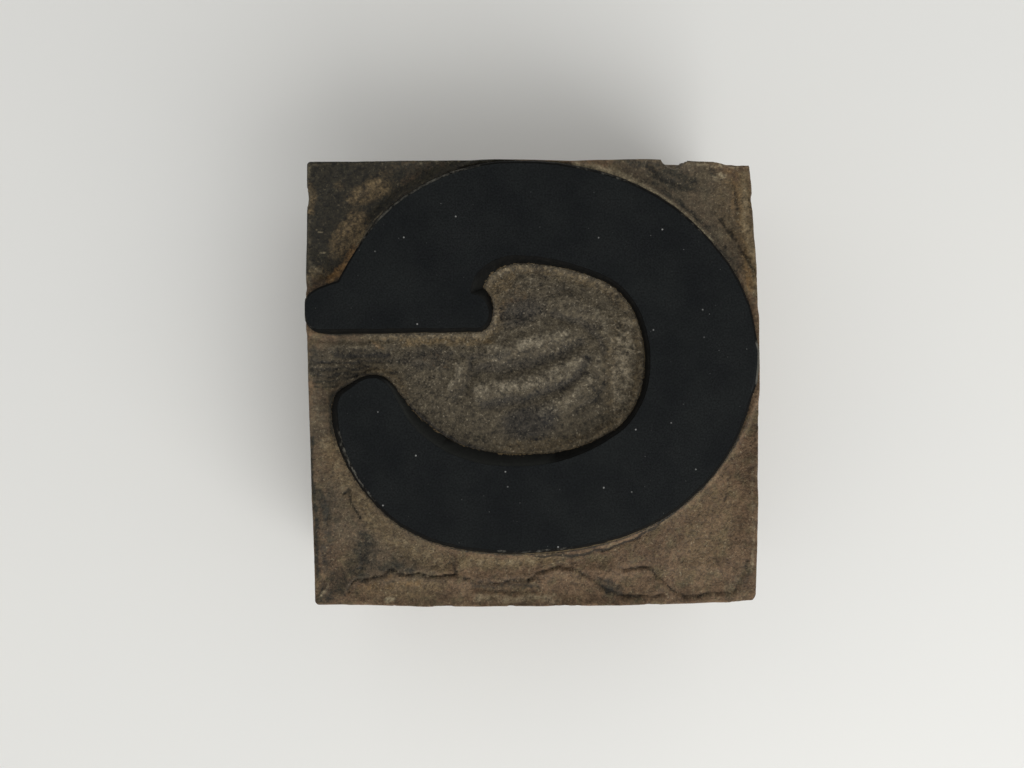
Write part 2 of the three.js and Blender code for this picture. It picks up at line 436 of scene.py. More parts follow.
@dataclass(frozen=True)
class BlockWood:
    """Old end-grain hardwood: pores as dots on the ground and as upright lines on the sides."""

    tan: Colour = linear(101, 82, 62)
    brown: Colour = linear(78, 62, 46)
    olive: Colour = linear(84, 77, 55)
    umber: Colour = linear(84, 62, 45)
    warm: Colour = linear(97, 82, 58)
    rust: Colour = linear(112, 86, 54)
    pale: Colour = linear(146, 134, 108)
    chalk: Colour = linear(147, 137, 117)
    grey: Colour = linear(72, 65, 52)
    # soot colour, which also paints the shade along the letter's foot
    soot: Colour = linear(29, 29, 22)
    rough_soot_and_shade: Colour = linear(40, 37, 33)
    dirt: Colour = linear(27, 24, 18)
    mottle: Cloud = Cloud(3.0, 5.0, 0.6, (1.0, 1.0, 0.3), 0.3, 0.7)
    olive_drift: Cloud = Cloud(1.5, 4.0, 0.65, start=0.45, full=0.7, cover=0.6)
    umber_drift: Cloud = Cloud(1.1, 4.0, 0.65, (1.1, 0.9, 0.2), 0.5, 0.72, 0.34)
    handled: Cloud = Cloud(9.0, 5.0, 0.6, (1.0, 1.0, 0.6), 0.5, 0.78, 0.55)
    speckle: Cloud = Cloud(0.24, 2.0, 0.6, FIBRE, 0.27, 0.73)
    fleck: Cloud = Cloud(0.6, 3.0, 0.65, FIBRE, 0.3, 0.7)
    grit: Cloud = Cloud(0.3, 2.0, 0.6, (1.3, 1.1, 0.05), 0.6, 0.72)
    chatter: Cloud = Cloud(0.9, 4.0, 0.7, (0.7, 1.2, 0.1), 0.28, 0.72)
    ragged: Cloud = Cloud(0.8, 6.0, 0.72)
    frayed: Cloud = Cloud(0.4, 4.0, 0.75, (0.8, 1.4, 0.3))
    saw: Cloud = Cloud(0.5, 2.0, squeeze=(0.12, 0.12, 1.0))
    pores: Dots = Dots(0.5, 0.34, 0.08, Cloud(1.1, squeeze=FIBRE, start=0.45, full=0.65))
    ring_bend: Cloud = Cloud(9.0, 2.0, squeeze=FIBRE)
    ring_waver: float = 6.0
    ring_width: float = 1.9
    ring_shade: float = 0.04
    side_ring_shade: float = 0.2
    pore_shade: float = 0.3
    pith: Spot = (34.0, -62.0, 0.0)
    grit_show: Weight = Weight(0.4, 0.12, -0.27)
    speckle_show: Weight = Weight(0.66, -0.27, 0.5)
    fleck_show: Weight = Weight(0.5, 0.15, 0.3)
    chatter_show: Weight = Weight(0.2, 0.36)
    spark_show: float = 0.55
    spark_level: float = 0.36
    greyed: Spread = Spread(0.8, 0.05, 1.0)
    sooted: Spread = Spread(1.0, 0.1, 0.95)
    warmed: Spread = Spread(1.0, 0.12, 0.9)
    rusted: Spread = Spread(1.2, 0.2, 0.9, 0.9)
    paled: Spread = Spread(1.5, 0.2, 1.0, 0.75)
    soiled: Spread = Spread(2.2, 0.25, 0.95, 0.85)
    soot_cover: float = 0.92
    soot_fray: float = 1.1
    soot_fray_lost: float = 0.8
    warm_ragged: float = 0.8
    warm_frayed: float = 1.1
    rough_cut_start: float = 0.65
    brightness: float = 1.02
    roughness: float = 0.6
    speckle_rough: float = 0.22
    soot_smooth: float = 0.1
    grain_height: float = 0.45
    pore_height: float = 0.6
    saw_height: float = 0.7
    relief_depth: float = 0.09
    relief_strength: float = 0.85
    gloss: float = 0.2

    def rings(self, g: Graph) -> Signal:
        """Gives the yearly rings round a pith that lies outside the block.

        Args:
            g: The material's tree.

        Returns:
            A value from 0 to 1.
        """
        from_pith = g.vectors("SUBTRACT", g.place(FIBRE), self.pith)
        reach = g.node("VectorMath", {"operation": "LENGTH"}, {0: from_pith}, "Value")
        turns = reach * (math.tau / self.ring_width) + self.ring_bend.plain(g) * self.ring_waver
        return turns.wave() * 0.5 + 0.5

    def material(self) -> bpy.types.Material:
        """Makes the wood from its pores, rings and stains.

        Returns:
            The finished material.
        """
        g = Graph.of_material("end_grain_wood")
        speckle = self.speckle.graded(g)
        fleck = self.fleck.graded(g)
        pores = self.pores.plain(g)
        ragged = self.ragged.swing(g)
        frayed = ragged * self.warm_ragged + self.frayed.swing(g) * self.warm_frayed
        side = g.mark(Mark.SIDE)
        rough_cut = g.mark(Mark.GREY).band(self.rough_cut_start, 1.0)
        # pale of rubbed wood, which also paints a highlight on the ledge at the letter's foot
        rubbed_and_highlight = g.blend(rough_cut, self.pale, self.chalk)

        colour = g.blend(self.mottle.graded(g), self.brown, self.tan)
        colour = g.blend(self.olive_drift.graded(g), colour, self.olive)
        colour = g.blend(self.umber_drift.graded(g), colour, self.umber)
        colour = g.blend(self.greyed.of(g.mark(Mark.GREY), ragged), colour, self.grey)
        # the soot mark holds soot stains and the painted shade along the letter's foot
        stained_and_shaded = g.mark(Mark.SOOT) + self.handled.graded(g) * side
        soot = self.sooted.of(stained_and_shaded, ragged * (self.soot_fray - self.soot_fray_lost * rough_cut))
        colour = g.blend(soot * self.soot_cover, colour, g.blend(rough_cut, self.soot, self.rough_soot_and_shade))
        colour = g.blend(self.warmed.of(g.mark(Mark.WARM), frayed), colour, self.warm)
        colour = g.blend(self.rusted.of(g.mark(Mark.RUST), ragged), colour, self.rust)
        colour = g.blend(self.paled.of(g.mark(Mark.PALE), ragged), colour, rubbed_and_highlight)
        colour = g.blend(self.soiled.of(g.mark(Mark.DIRT), ragged), colour, self.dirt)
        colour = g.blend(self.grit.graded(g) * self.grit_show.at(rough_cut, soot), colour, rubbed_and_highlight)
        shade = self.brightness + (speckle - 0.5) * self.speckle_show.at(rough_cut, soot)
        shade = shade + (speckle * speckle - self.spark_level) * rough_cut * self.spark_show
        shade = shade + (fleck - 0.5) * self.fleck_show.at(rough_cut, soot)
        shade = shade + (self.chatter.graded(g) - 0.5) * self.chatter_show.at(rough_cut, soot)
        ringed = self.rings(g) * (self.ring_shade + self.side_ring_shade * side)
        colour = g.scaled(colour, shade * (1 - self.pore_shade * pores) * (1 - ringed))

        roughness = self.roughness + self.speckle_rough * speckle - self.soot_smooth * soot
        height = (speckle + fleck) * self.grain_height - pores * self.pore_height
        height = height + self.saw.swing(g) * side * self.saw_height
        normal = g.relief(height, self.relief_depth, self.relief_strength)
        return g.close(colour, roughness, normal, self.gloss)


@dataclass(frozen=True)
class StainedWood:
    """The letter's wood, soaked black and painted darker than the ink as shade on its walls, with a painted
    highlight on its upper corner and its foot frayed to bare wood.
    """

    # near-black stain that also paints the shade on the letter's walls
    black: Colour = linear(13, 13, 12)
    brown: Colour = linear(22, 21, 18)
    # light grey of the painted highlight along the letter's upper edge
    rubbed_and_highlight: Colour = linear(82, 80, 73)
    bare: Colour = linear(92, 79, 58)
    inked: Colour = linear(33, 34, 32)
    # how the painted highlight on the upper edge spreads
    worn: Spread = Spread(2.4, 0.45, 1.1)
    stripped: Spread = Spread(1.2, 0.25, 0.8)
    fringed: Spread = Spread(1.2, 0.85, 1.0)
    streak: Cloud = Cloud(0.45, 4.0, 0.65, (1.0, 1.0, 0.08))
    patch: Cloud = Cloud(0.7, 4.0, 0.7, start=0.45, full=0.75)
    fringe: Cloud = Cloud(0.35, 3.0, 0.7)
    brightness: float = 0.6
    streak_light: float = 0.8
    roughness: float = 0.6
    streak_rough: float = 0.3
    relief_depth: float = 0.06
    relief_strength: float = 0.7
    gloss: float = 0.06

    def material(self) -> bpy.types.Material:
        """Makes the black wood from upright fibres, with a painted highlight on its worn rim.

        Returns:
            The finished material.
        """
        g = Graph.of_material("stained_wood")
        streak = self.streak.plain(g)
        edge = self.patch.swing(g)
        colour = g.blend(self.patch.graded(g), self.black, self.brown)
        colour = g.blend(g.mark(Mark.GREY), colour, self.inked)
        # painted highlight along the upper edge
        colour = g.blend(self.worn.of(g.mark(Mark.RIM), edge), colour, self.rubbed_and_highlight)
        colour = g.blend(self.stripped.of(g.mark(Mark.RUST), edge), colour, self.bare)
        colour = g.blend(self.fringed.of(g.mark(Mark.PALE), self.fringe.swing(g)), colour, self.bare)
        colour = g.scaled(colour, self.brightness + self.streak_light * streak)
        roughness = self.roughness + self.streak_rough * streak
        normal = g.relief(streak, self.relief_depth, self.relief_strength)
        return g.close(colour, roughness, normal, self.gloss)


@dataclass(frozen=True)
class DriedInk:
    """Dried printing ink: blue-black and matt, with dust on it."""

    black: Colour = linear(18, 20, 21)
    sheen: Colour = linear(26, 28, 28)
    dust: Colour = linear(168, 168, 164)
    mottle: Cloud = Cloud(6.5, 6.0, 0.62, FLAT, 0.32, 0.68)
    tooth: Cloud = Cloud(0.2, 2.0, squeeze=FLAT, start=0.25, full=0.75)
    specks: Dots = Dots(5.2, 0.024, 0.01, Cloud(3.1, 1.0, squeeze=FLAT, start=0.48, full=0.6, cover=0.5))
    motes: Dots = Dots(2.1, 0.035, 0.015, Cloud(2.3, 1.0, squeeze=FLAT, start=0.5, full=0.75, cover=0.2))
    brightness: float = 0.6
    tooth_light: float = 0.8
    roughness: float = 0.55
    mottle_rough: float = 0.2
    tooth_rough: float = 0.1
    relief_depth: float = 0.02
    relief_strength: float = 0.5
    gloss: float = 0.06

    def material(self) -> bpy.types.Material:
        """Makes the ink from a faint mottle, a fine tooth and scattered dust.

        Returns:
            The finished material.
        """
        g = Graph.of_material("dried_ink")
        tooth = self.tooth.graded(g)
        dust = self.specks.plain(g) + self.motes.plain(g)
        colour = g.blend(self.mottle.graded(g), self.black, self.sheen)
        colour = g.scaled(colour, self.brightness + self.tooth_light * tooth)
        colour = g.blend(dust, colour, self.dust)
        roughness = self.roughness + self.mottle_rough * self.mottle.plain(g) + self.tooth_rough * tooth
        normal = g.relief(tooth + dust, self.relief_depth, self.relief_strength)
        return g.close(colour, roughness, normal, self.gloss)


@dataclass(frozen=True)
class HideGlue:
    """A hardened amber glue line, darker where ink ran into it."""

    amber: Colour = linear(106, 78, 44)
    dark: Colour = linear(42, 34, 24)
    pools: Cloud = Cloud(1.4, 4.0, start=0.35, full=0.65)
    roughness: float = 0.25
    pool_rough: float = 0.3
    relief_depth: float = 0.04
    gloss: float = 0.4

    def material(self) -> bpy.types.Material:
        """Makes the glue from two ambers.

        Returns:
            The finished material.
        """
        g = Graph.of_material("hide_glue")
        pools = self.pools.plain(g)
        colour = g.blend(self.pools.graded(g), self.dark, self.amber)
        roughness = self.roughness + self.pool_rough * pools
        return g.close(colour, roughness, g.relief(pools, self.relief_depth), self.gloss)


@dataclass(frozen=True)
class TableTop:
    """A plain pale table."""

    pale: Colour = linear(228, 227, 222)
    cool: Colour = linear(224, 224, 221)
    drift: Cloud = Cloud(60.0, 2.0)
    roughness: float = 0.6
    drift_rough: float = 0.1
    relief_depth: float = 0.01
    gloss: float = 0.2

    def material(self) -> bpy.types.Material:
        """Makes the table from two near whites.

        Returns:
            The finished material.
        """
        g = Graph.of_material("table_top")
        drift = self.drift.plain(g)
        colour = g.blend(drift, self.pale, self.cool)
        roughness = self.roughness + self.drift_rough * drift
        return g.close(colour, roughness, g.relief(drift, self.relief_depth), self.gloss)


@dataclass(frozen=True)
class Oval:
    """A turned ellipse on the plan."""

    x: float
    y: float
    turn: float
    length: float
    width: float

    def reach(self, at: Plan) -> Array:
        """Gives how far places lie from the middle.

        Args:
            at: The places.

        Returns:
            Distances as shares of the way to the outline, where they are 1.
        """
        cos, sin = math.cos(math.radians(self.turn)), math.sin(math.radians(self.turn))
        x, y = at.x - self.x, at.y - self.y
        return np.hypot(2 * (x * cos + y * sin) / self.length, 2 * (y * cos - x * sin) / self.width)


@dataclass(frozen=True)
class Scoop(Oval):
    """One pass of the gouge: a shallow trough with a crisp rim."""

    depth: float

    def cut(self, at: Plan) -> Array:
        """Gives how deep the pass cuts at each place."""
        return self.depth * np.clip(1 - self.reach(at) ** 2, 0, None)

    def swell(self, at: Plan) -> Array:
        """Gives a soft rise over the same place, as high as the pass is deep."""
        return self.depth * (1 - fade(self.reach(at), 0.0, 1.0))


@dataclass(frozen=True)
class Stain(Oval):
    """A soft-edged patch of one mark."""

    amount: float
    core: float = 0.45
    end: float = 1.15

    def cover(self, at: Plan) -> Array:
        """Gives how strong the patch is at each place."""
        return self.amount * (1 - fade(self.reach(at), self.core, self.end))


@dataclass(frozen=True)
class Stripe:
    """A soft-edged line of one mark, raised or sunk a little."""

    path: Path
    width: float
    amount: float
    rise: float = 0.0

    def cover(self, at: Plan, inner: float, outer: float) -> Array:
        """Gives how fully the line covers places.

        Args:
            at: The places.
            inner: How many widths from its middle the line is full.
            outer: How many widths from its middle the line has faded out.

        Returns:
            Values from 0 to 1.
        """
        near, _ = to_path(at, self.path)
        return 1 - fade(near, inner * self.width, outer * self.width)


@dataclass(frozen=True)
class Crease:
    """A line where one cut runs out against the next. A lip swells on its left side."""

    path: Path
    depth: float = 0.16
    lip: float = 0.18
    width: float = 0.15
    fall: float = 1.3
    dirt: float = 0.75
    lip_start: float = 0.3
    dirt_spread: float = 1.3

    def traces(self, at: Plan) -> tuple[Array, Array]:
        """Works out the groove with its lip.

        Args:
            at: The places.

        Returns:
            The height, and the dirt that lies in the groove.
        """
        near, side = to_path(at, self.path)
        groove = np.exp(-((near / self.width) ** 2))
        swell = np.where(side > 0, np.exp(-near / self.fall) * fade(near, 0.0, self.lip_start), 0)
        dirt = np.exp(-((near / (self.dirt_spread * self.width)) ** 2))
        return self.lip * swell - self.depth * groove, self.dirt * dirt


@dataclass(frozen=True)
class Chip:
    """A broken spot on an upper edge of the block."""

    x: float
    y: float
    length: float
    width: float
    depth: float


# The rows down to DENTS are given in millimetres from the middle of the block.

# Wide hollows in the corners of the ground.
DISHES = (
    Scoop(-25.3, 25.3, 45, 28, 20, 0.1),
    Scoop(25.3, 25.3, -45, 28, 22, 1),
    Scoop(25.3, 25.3, -30, 15, 8, 1.5),
    Scoop(25.3, -25.3, 45, 28, 22, 0.6),
    Scoop(-25.3, -25.3, -45, 28, 22, 1),
)
# Wide rises at the upper left, where less wood was cut away.
MOUNDS = (
    Scoop(-25.3, 25.3, 45, 38, 24, 0.85),
    Scoop(-25.6, 13.5, 90, 12, 7, 0.6),
)
# Ground left standing along the sides, where the letter comes close to them.
BANKS = (
    Scoop(26, 3, 90, 58, 9, 1.7),
    Scoop(-26, 6, 90, 44, 8, 1.6),
    Scoop(26, -15, 90, 30, 7, 1.2),
    Scoop(-8, 26, 0, 30, 5, 1),
    Scoop(12, 26, 0, 24, 5, 0.8),
    Scoop(2, -26, 0, 60, 4, 0.6),
)
# Single passes of the gouge.
SCOOPS = (
    Scoop(-21.4, 20.3, 60, 10, 5.6, 0.25),
    Scoop(-18.3, 21.6, 25, 5.2, 2.2, 0.4),
    Scoop(-20.6, 17.1, 55, 5.6, 2.6, 0.45),
    Scoop(19.3, 21.1, -48, 11, 4.2, 0.5),
    Scoop(22.9, 14.7, -72, 13, 3.4, 0.35),
    Scoop(19.7, -16.7, 50, 14, 8, 0.4),
    Scoop(11.5, -22.3, 18, 7.4, 4.4, 0.4),
    Scoop(18.7, -22.7, -8, 8.6, 4.2, 0.45),
    Scoop(23.9, -7.8, 88, 13, 2.6, 0.3),
    Scoop(4.5, -23, -4, 8.8, 4, 0.4),
    Scoop(4.7, -20.1, 3, 9.4, 3.4, 0.3),
    Scoop(-3.7, -20.6, 0, 10.2, 3.4, 0.35),
    Scoop(-3.5, -23.7, 0, 10.4, 3.8, 0.4),
    Scoop(-12.5, -19.4, -12, 9.2, 3.8, 0.35),
    Scoop(-13.5, -23.2, 4, 10.4, 4.2, 0.45),
    Scoop(-19.5, -23.3, 20, 5, 3, 0.55),
    Scoop(-22.2, -19.5, 82, 9.5, 5, 0.6),
    Scoop(-21.9, -12.5, 74, 8.5, 4.2, 0.4),
    Scoop(-23.6, -5, 88, 11, 3, 0.3),
    Scoop(-21, 2.4, 0, 14, 4.4, 0.25),
)
# Where one cut runs out against the next.
CREASES = (
    Crease(((14.4, -24.2), (11.6, -24.3), (9.4, -24.1), (8.1, -23.6), (7.1, -23), (6, -22), (4.3, -21.1),
            (2.9, -20.8), (0.6, -21.5), (-0.6, -22.5))),
    Crease(((22.2, -24.1), (19.3, -24.4), (17, -24.35), (16.2, -23.9), (14.8, -22.9), (13.4, -21.3),
            (12, -21.15), (9.9, -21))),
    Crease(((24.3, -20.2), (24.1, -21.6), (23.5, -22.9), (22.6, -24.2)), 0.12, 0.08, dirt=0.6),
    Crease(((4.3, -19.5), (4.3, -20.8)), 0.1, 0.05, dirt=0.5),
    Crease(((-9.2, -21.9), (-10.5, -22), (-12, -21.9), (-13.3, -21.7), (-14.4, -21.8), (-15.3, -21.5),
            (-16.2, -21.1), (-16.7, -21.3), (-17.2, -21.7), (-18, -22.1), (-19.5, -22.3), (-20.6, -22.6),
            (-21.3, -23.5), (-21.4, -24)), 0.2, 0.22, 0.16, dirt=0.85),
    Crease(((0.6, -22.2), (-1.4, -22.6), (-4, -22.7), (-6.6, -22.6), (-8, -22.1)), 0.14, 0.14, dirt=0.75),
    Crease(((-9.7, -20.4), (-9.2, -20.6), (-9.1, -21.8)), 0.15, 0.06, 0.2, dirt=0.9),
    Crease(((0, -23.8), (-3.4, -23.7), (-6.9, -23.5)), 0.1, 0.08, dirt=0.55),
    Crease(((-20, -21.4), (-19.7, -20.4), (-19.8, -19)), 0.2, 0.12, 0.3, dirt=0.7),
    Crease(((-21.6, -12.5), (-21.35, -11.9), (-21.1, -12.4), (-20.7, -13.6), (-20.2, -14.8),
            (-19.8, -15.4)), 0.2, 0.1, 0.14, dirt=1),
    Crease(((-20.9, -23.4), (-20.3, -24.2), (-19.5, -25)), 0.12, 0.05, dirt=0.6),
    Crease(((-17.2, -21.9), (-16.7, -22.9)), 0.1, 0.04, dirt=0.5),
    Crease(((21.6, 18.6), (22.2, 17.6), (22.9, 16.9), (23.4, 15.8), (23.7, 14.9), (24.4, 13.8),
            (24.9, 12.7)), 0.18, 0.14, 0.17, dirt=0.9),
    Crease(((17.4, 20.3), (18.6, 19.2), (19.4, 18.3)), 0.16, 0.1, 0.2, dirt=0.9),
    Crease(((20, 17.6), (20.6, 17)), 0.12, 0.05, 0.25, dirt=0.7),
    Crease(((13.2, 24.7), (14, 24.2), (14.3, 23.4), (14.8, 23), (16, 22.8), (17.4, 22.6)),
            0.18, 0.1, 0.22, dirt=0.95),
    Crease(((23.2, 22.6), (23.5, 21), (23.6, 19.6), (23.4, 18.6)), 0.1, 0.05, 0.16, dirt=0.7),
    Crease(((21.95, -13), (21.8, -13.7), (22.1, -14.6)), 0.1, 0, 0.16, dirt=0.7),
    Crease(((-0.5, -19.5), (4.4, -19.75), (8, -19.05), (11.6, -17.7), (16, -14.8), (20, -10.8)),
            0.16, 0.05, 0.14, dirt=1.3),
    Crease(((-23.9, -16.5), (-23.2, -13.5), (-23.6, -10.5)), 0.1, 0.08, dirt=0.3),
)
# Lines and patches of each mark on the ground.
LINES: dict[Mark, tuple[Stripe, ...]] = {
    Mark.SOOT: (
        Stripe(((-17.2, 19.6), (-14.6, 21.6), (-11.6, 23.4), (-8, 24.6), (-3, 25.2)), 2.2, 1.15),
        Stripe(((24.5, 22.2), (24.8, 21), (24.9, 19.8)), 0.5, 0.8, -0.1),
        Stripe(((10.8, 25.1), (13.2, 24.8), (15, 24.5)), 0.9, 0.6),
        Stripe(((12.8, 22.9), (15, 22), (17, 20.6), (18.8, 18.9), (20.6, 17)), 1, 0.66, -0.1),
        Stripe(((14.6, 23.4), (16.4, 22.9), (18.4, 22.4)), 1.6, 0.7),
        Stripe(((20.6, 24.2), (21.2, 23.7)), 1, 0.6),
        Stripe(((21, 15.2), (22.2, 14.2), (23.4, 13)), 1.2, 0.62),
        Stripe(((25, -5), (25, -7)), 0.4, 0.4),
        Stripe(((-6.9, 1.7), (-3, 1.9), (0.7, 2.5), (3.2, 3.4), (5.4, 4.6)), 1.7, 0.6, -0.22),
        Stripe(((-5.5, -2.4), (-0.9, -1.7), (3, -0.5), (5, 0.7), (6.2, 2.6)), 1.7, 0.64, -0.22),
        Stripe(((4.8, -3.4), (7, -1.8), (8.6, 0.4)), 1.2, 0.52, -0.18),
        Stripe(((2.6, 7.6), (5.4, 7.2), (7.6, 5.2), (8.2, 3.2)), 1.2, 0.58, -0.2),
        Stripe(((-4.6, 7.6), (-1.6, 7.9), (1.4, 7.5)), 1.1, 0.4, -0.12),
        Stripe(((-8.8, -2), (-7.4, 0.2), (-7, 2.4)), 1, 0.4, -0.16),
        Stripe(((-6.8, -23.1), (-3, -23.2), (0.2, -23.2)), 0.9, 0.58, -0.08),
        Stripe(((-25.1, -6), (-25, -13), (-24.9, -22)), 0.7, 0.85),
        Stripe(((-24.7, -12.4), (-23.9, -13.6), (-23.6, -14.8)), 1.8, 0.8),
        Stripe(((-24.2, -18.4), (-24, -21)), 1.8, 0.6),
        Stripe(((-19.2, -17.4), (-19.8, -19.6), (-19.7, -22)), 2.6, 0.66, -0.12),
        Stripe(((-17.6, -20.9), (-15.8, -20.6), (-14.2, -21.2)), 1.2, 0.7),
        Stripe(((-24.4, -24.6), (-22.6, -23.4), (-21.6, -22)), 2.4, 0.66),
        Stripe(((-22.6, -1), (-22.7, -4), (-22.2, -7.4)), 1.3, 0.8),
        Stripe(((-22.4, 3.5), (-20, 3.3), (-16.4, 3.4)), 0.9, 0.85, -0.14),
        Stripe(((-24.8, 2.6), (-20, 2.5), (-16, 2.7)), 0.45, 0.8, -0.1),
        Stripe(((-24.8, 1.9), (-21, 1.8), (-17.5, 1.9)), 0.4, 0.75, -0.1),
        Stripe(((-24.8, 1.2), (-21.4, 1.2), (-18.6, 1.4)), 0.4, 0.75, -0.1),
        Stripe(((-24.8, 0.5), (-21.8, 0.7), (-19.9, 0.9)), 0.4, 0.7, -0.1),
        Stripe(((-24.8, -0.2), (-22.4, 0)), 0.4, 0.7, -0.1),
        Stripe(((-16, 2.6), (-13, 2.6), (-10, 2)), 1.6, 0.55),
        Stripe(((-8, 3.2), (-5, 3), (-3, 3.2)), 0.9, 0.5, -0.06),
    ),
    Mark.WARM: (
        Stripe(((-24.9, 22.6), (-24.6, 21), (-24.9, 19.6)), 1.2, 0.7),
        Stripe(((24.4, 23.6), (24.3, 19), (24.6, 15), (24.8, 11)), 2, 0.7),
        Stripe(((-23, -7), (-20.8, -11.6), (-18.4, -15.2), (-15, -18.2), (-10.4, -20.4)), 3.8, 0.5),
        Stripe(((-8, -20.2), (-4, -20.6), (2, -19.9)), 2, 0.62, 0.1),
        Stripe(((-14.8, 5), (-9.5, 4.9), (-4.7, 4.7)), 1.3, 0.6),
    ),
    Mark.RUST: (
        Stripe(((-19.8, 15.6), (-21.2, 13.8), (-22.7, 12.1)), 1.3, 0.9, 0.1),
        Stripe(((24.3, 12.8), (24.6, 10.4)), 1.1, 0.62),
        Stripe(((23.4, 23.4), (23.8, 19), (24.2, 15), (24.7, 11.4)), 2.4, 0.4),
        Stripe(((22.4, 24.3), (24.3, 23.6)), 1.2, 0.4),
        Stripe(((-17, -22.1), (-16.2, -21.8), (-14.9, -22.2)), 0.9, 0.5, 0.1),
        Stripe(((-20, -23.2), (-17.6, -23), (-13, -22.8)), 1.2, 0.4),
        Stripe(((-17.8, 4.6), (-17, 4.2)), 0.7, 0.5),
    ),
    Mark.PALE: (
        Stripe(((5.2, 24.6), (7.4, 24.3), (9.95, 23.6), (13.5, 21.6), (16.6, 19.5), (19.1, 16.8),
                (21.4, 13.8), (23, 11.2)), 1.5, 0.72, 0.14),
        # painted highlight on the ledge along the letter's foot
        Stripe(((-17, 19.4), (-18.6, 17.6), (-19.9, 15.8)), 0.35, 0.6, 0.08),
        Stripe(((-24.9, 22.6), (-24.7, 21), (-24.9, 19.8)), 0.6, 0.4),
        Stripe(((-25, 24.8), (-25, 15), (-25, 11)), 0.7, 0.46),
        Stripe(((-24.6, 25), (-16, 25.1), (-8, 25.1)), 0.5, 0.36),
        Stripe(((-25.2, 9.1), (-24.2, 10.3), (-22.8, 11.2)), 0.4, 0.5),
        Stripe(((-24.1, 17.4), (-23.3, 17.2)), 0.25, 0.9),
        Stripe(((-23.7, 15), (-23.2, 15)), 0.25, 0.8),
        Stripe(((-24.8, 13.2), (-23.3, 12.5)), 0.4, 0.6),
        Stripe(((24.8, -9), (24.7, -15), (24.7, -22.5)), 0.5, 0.5),
        Stripe(((24.4, 24), (24.3, 18), (24.9, 14), (25, 9)), 1.2, 0.44),
        Stripe(((21.9, 24), (22.4, 23.6)), 0.6, 0.9),
        Stripe(((21.4, 16.6), (22.6, 16.2)), 1.2, 0.34),
        Stripe(((17.4, 25), (21, 24.9), (24.4, 24.6)), 0.5, 0.5),
        Stripe(((-3.7, 5.2), (-1.5, 6.2), (0.7, 6.9)), 0.3, 0.4, 0.08),
        Stripe(((1.2, 8), (0.7, 6.2)), 0.3, 0.45, 0.08),
        Stripe(((-11.2, 1.7), (-9.8, 2.7)), 0.3, 0.6, 0.06),
        Stripe(((-4.6, 3.8), (-2.4, 4.2), (0.2, 4.7), (3.6, 5.6)), 2.2, 0.44, 0.36),
        Stripe(((-6.1, -0.8), (-2.9, -0.4), (1.1, 0.5), (3.4, 1.5), (5, 2.5)), 2.6, 0.44, 0.42),
        Stripe(((1.07, -3.6), (3.04, -2.6), (5, -1.05), (6.6, 0.8), (7.2, 2.8)), 2.3, 0.36, 0.32),
        Stripe(((4, 9.6), (7, 8.2), (9, 5.6), (9.8, 2)), 2, 0.38, 0.24),
        Stripe(((-9.6, -0.6), (-8.6, 1), (-8.2, 2.4)), 1, 0.42, 0.2),
        Stripe(((-23.2, -7), (-21.4, -11.4), (-18.8, -14.8), (-15.4, -17.6), (-12, -19.6)), 3, 0.3),
        Stripe(((-13.6, -19.4), (-10.4, -20.2)), 2.2, 0.32),
        Stripe(((-8, -20.2), (-4, -20.5), (0, -20.2)), 1.8, 0.36),
        Stripe(((-6.6, -24.4), (-2, -24.4), (2.6, -24.4)), 1.3, 0.5, 0.1),
        Stripe(((8, -19.2), (13, -17.4), (18, -13.6), (22, -8.6)), 3.6, 0.26),
        Stripe(((24.2, -21), (23.2, -23.2), (21, -24.6)), 1.5, 0.36),
        Stripe(((-24.4, -24.3), (-24, -23.5), (-23.7, -22.8)), 0.4, 0.6, 0.06),
        Stripe(((-24.6, -0.8), (-24.3, -4), (-23.8, -7.5)), 1.8, 0.3),
        Stripe(((-24, 4.6), (-20, 4.4), (-15, 4.6)), 0.8, 0.34, 0.08),
        Stripe(((-21, 2.1), (-18, 2.2), (-15, 2.4)), 0.45, 0.34, 0.06),
    ),
}
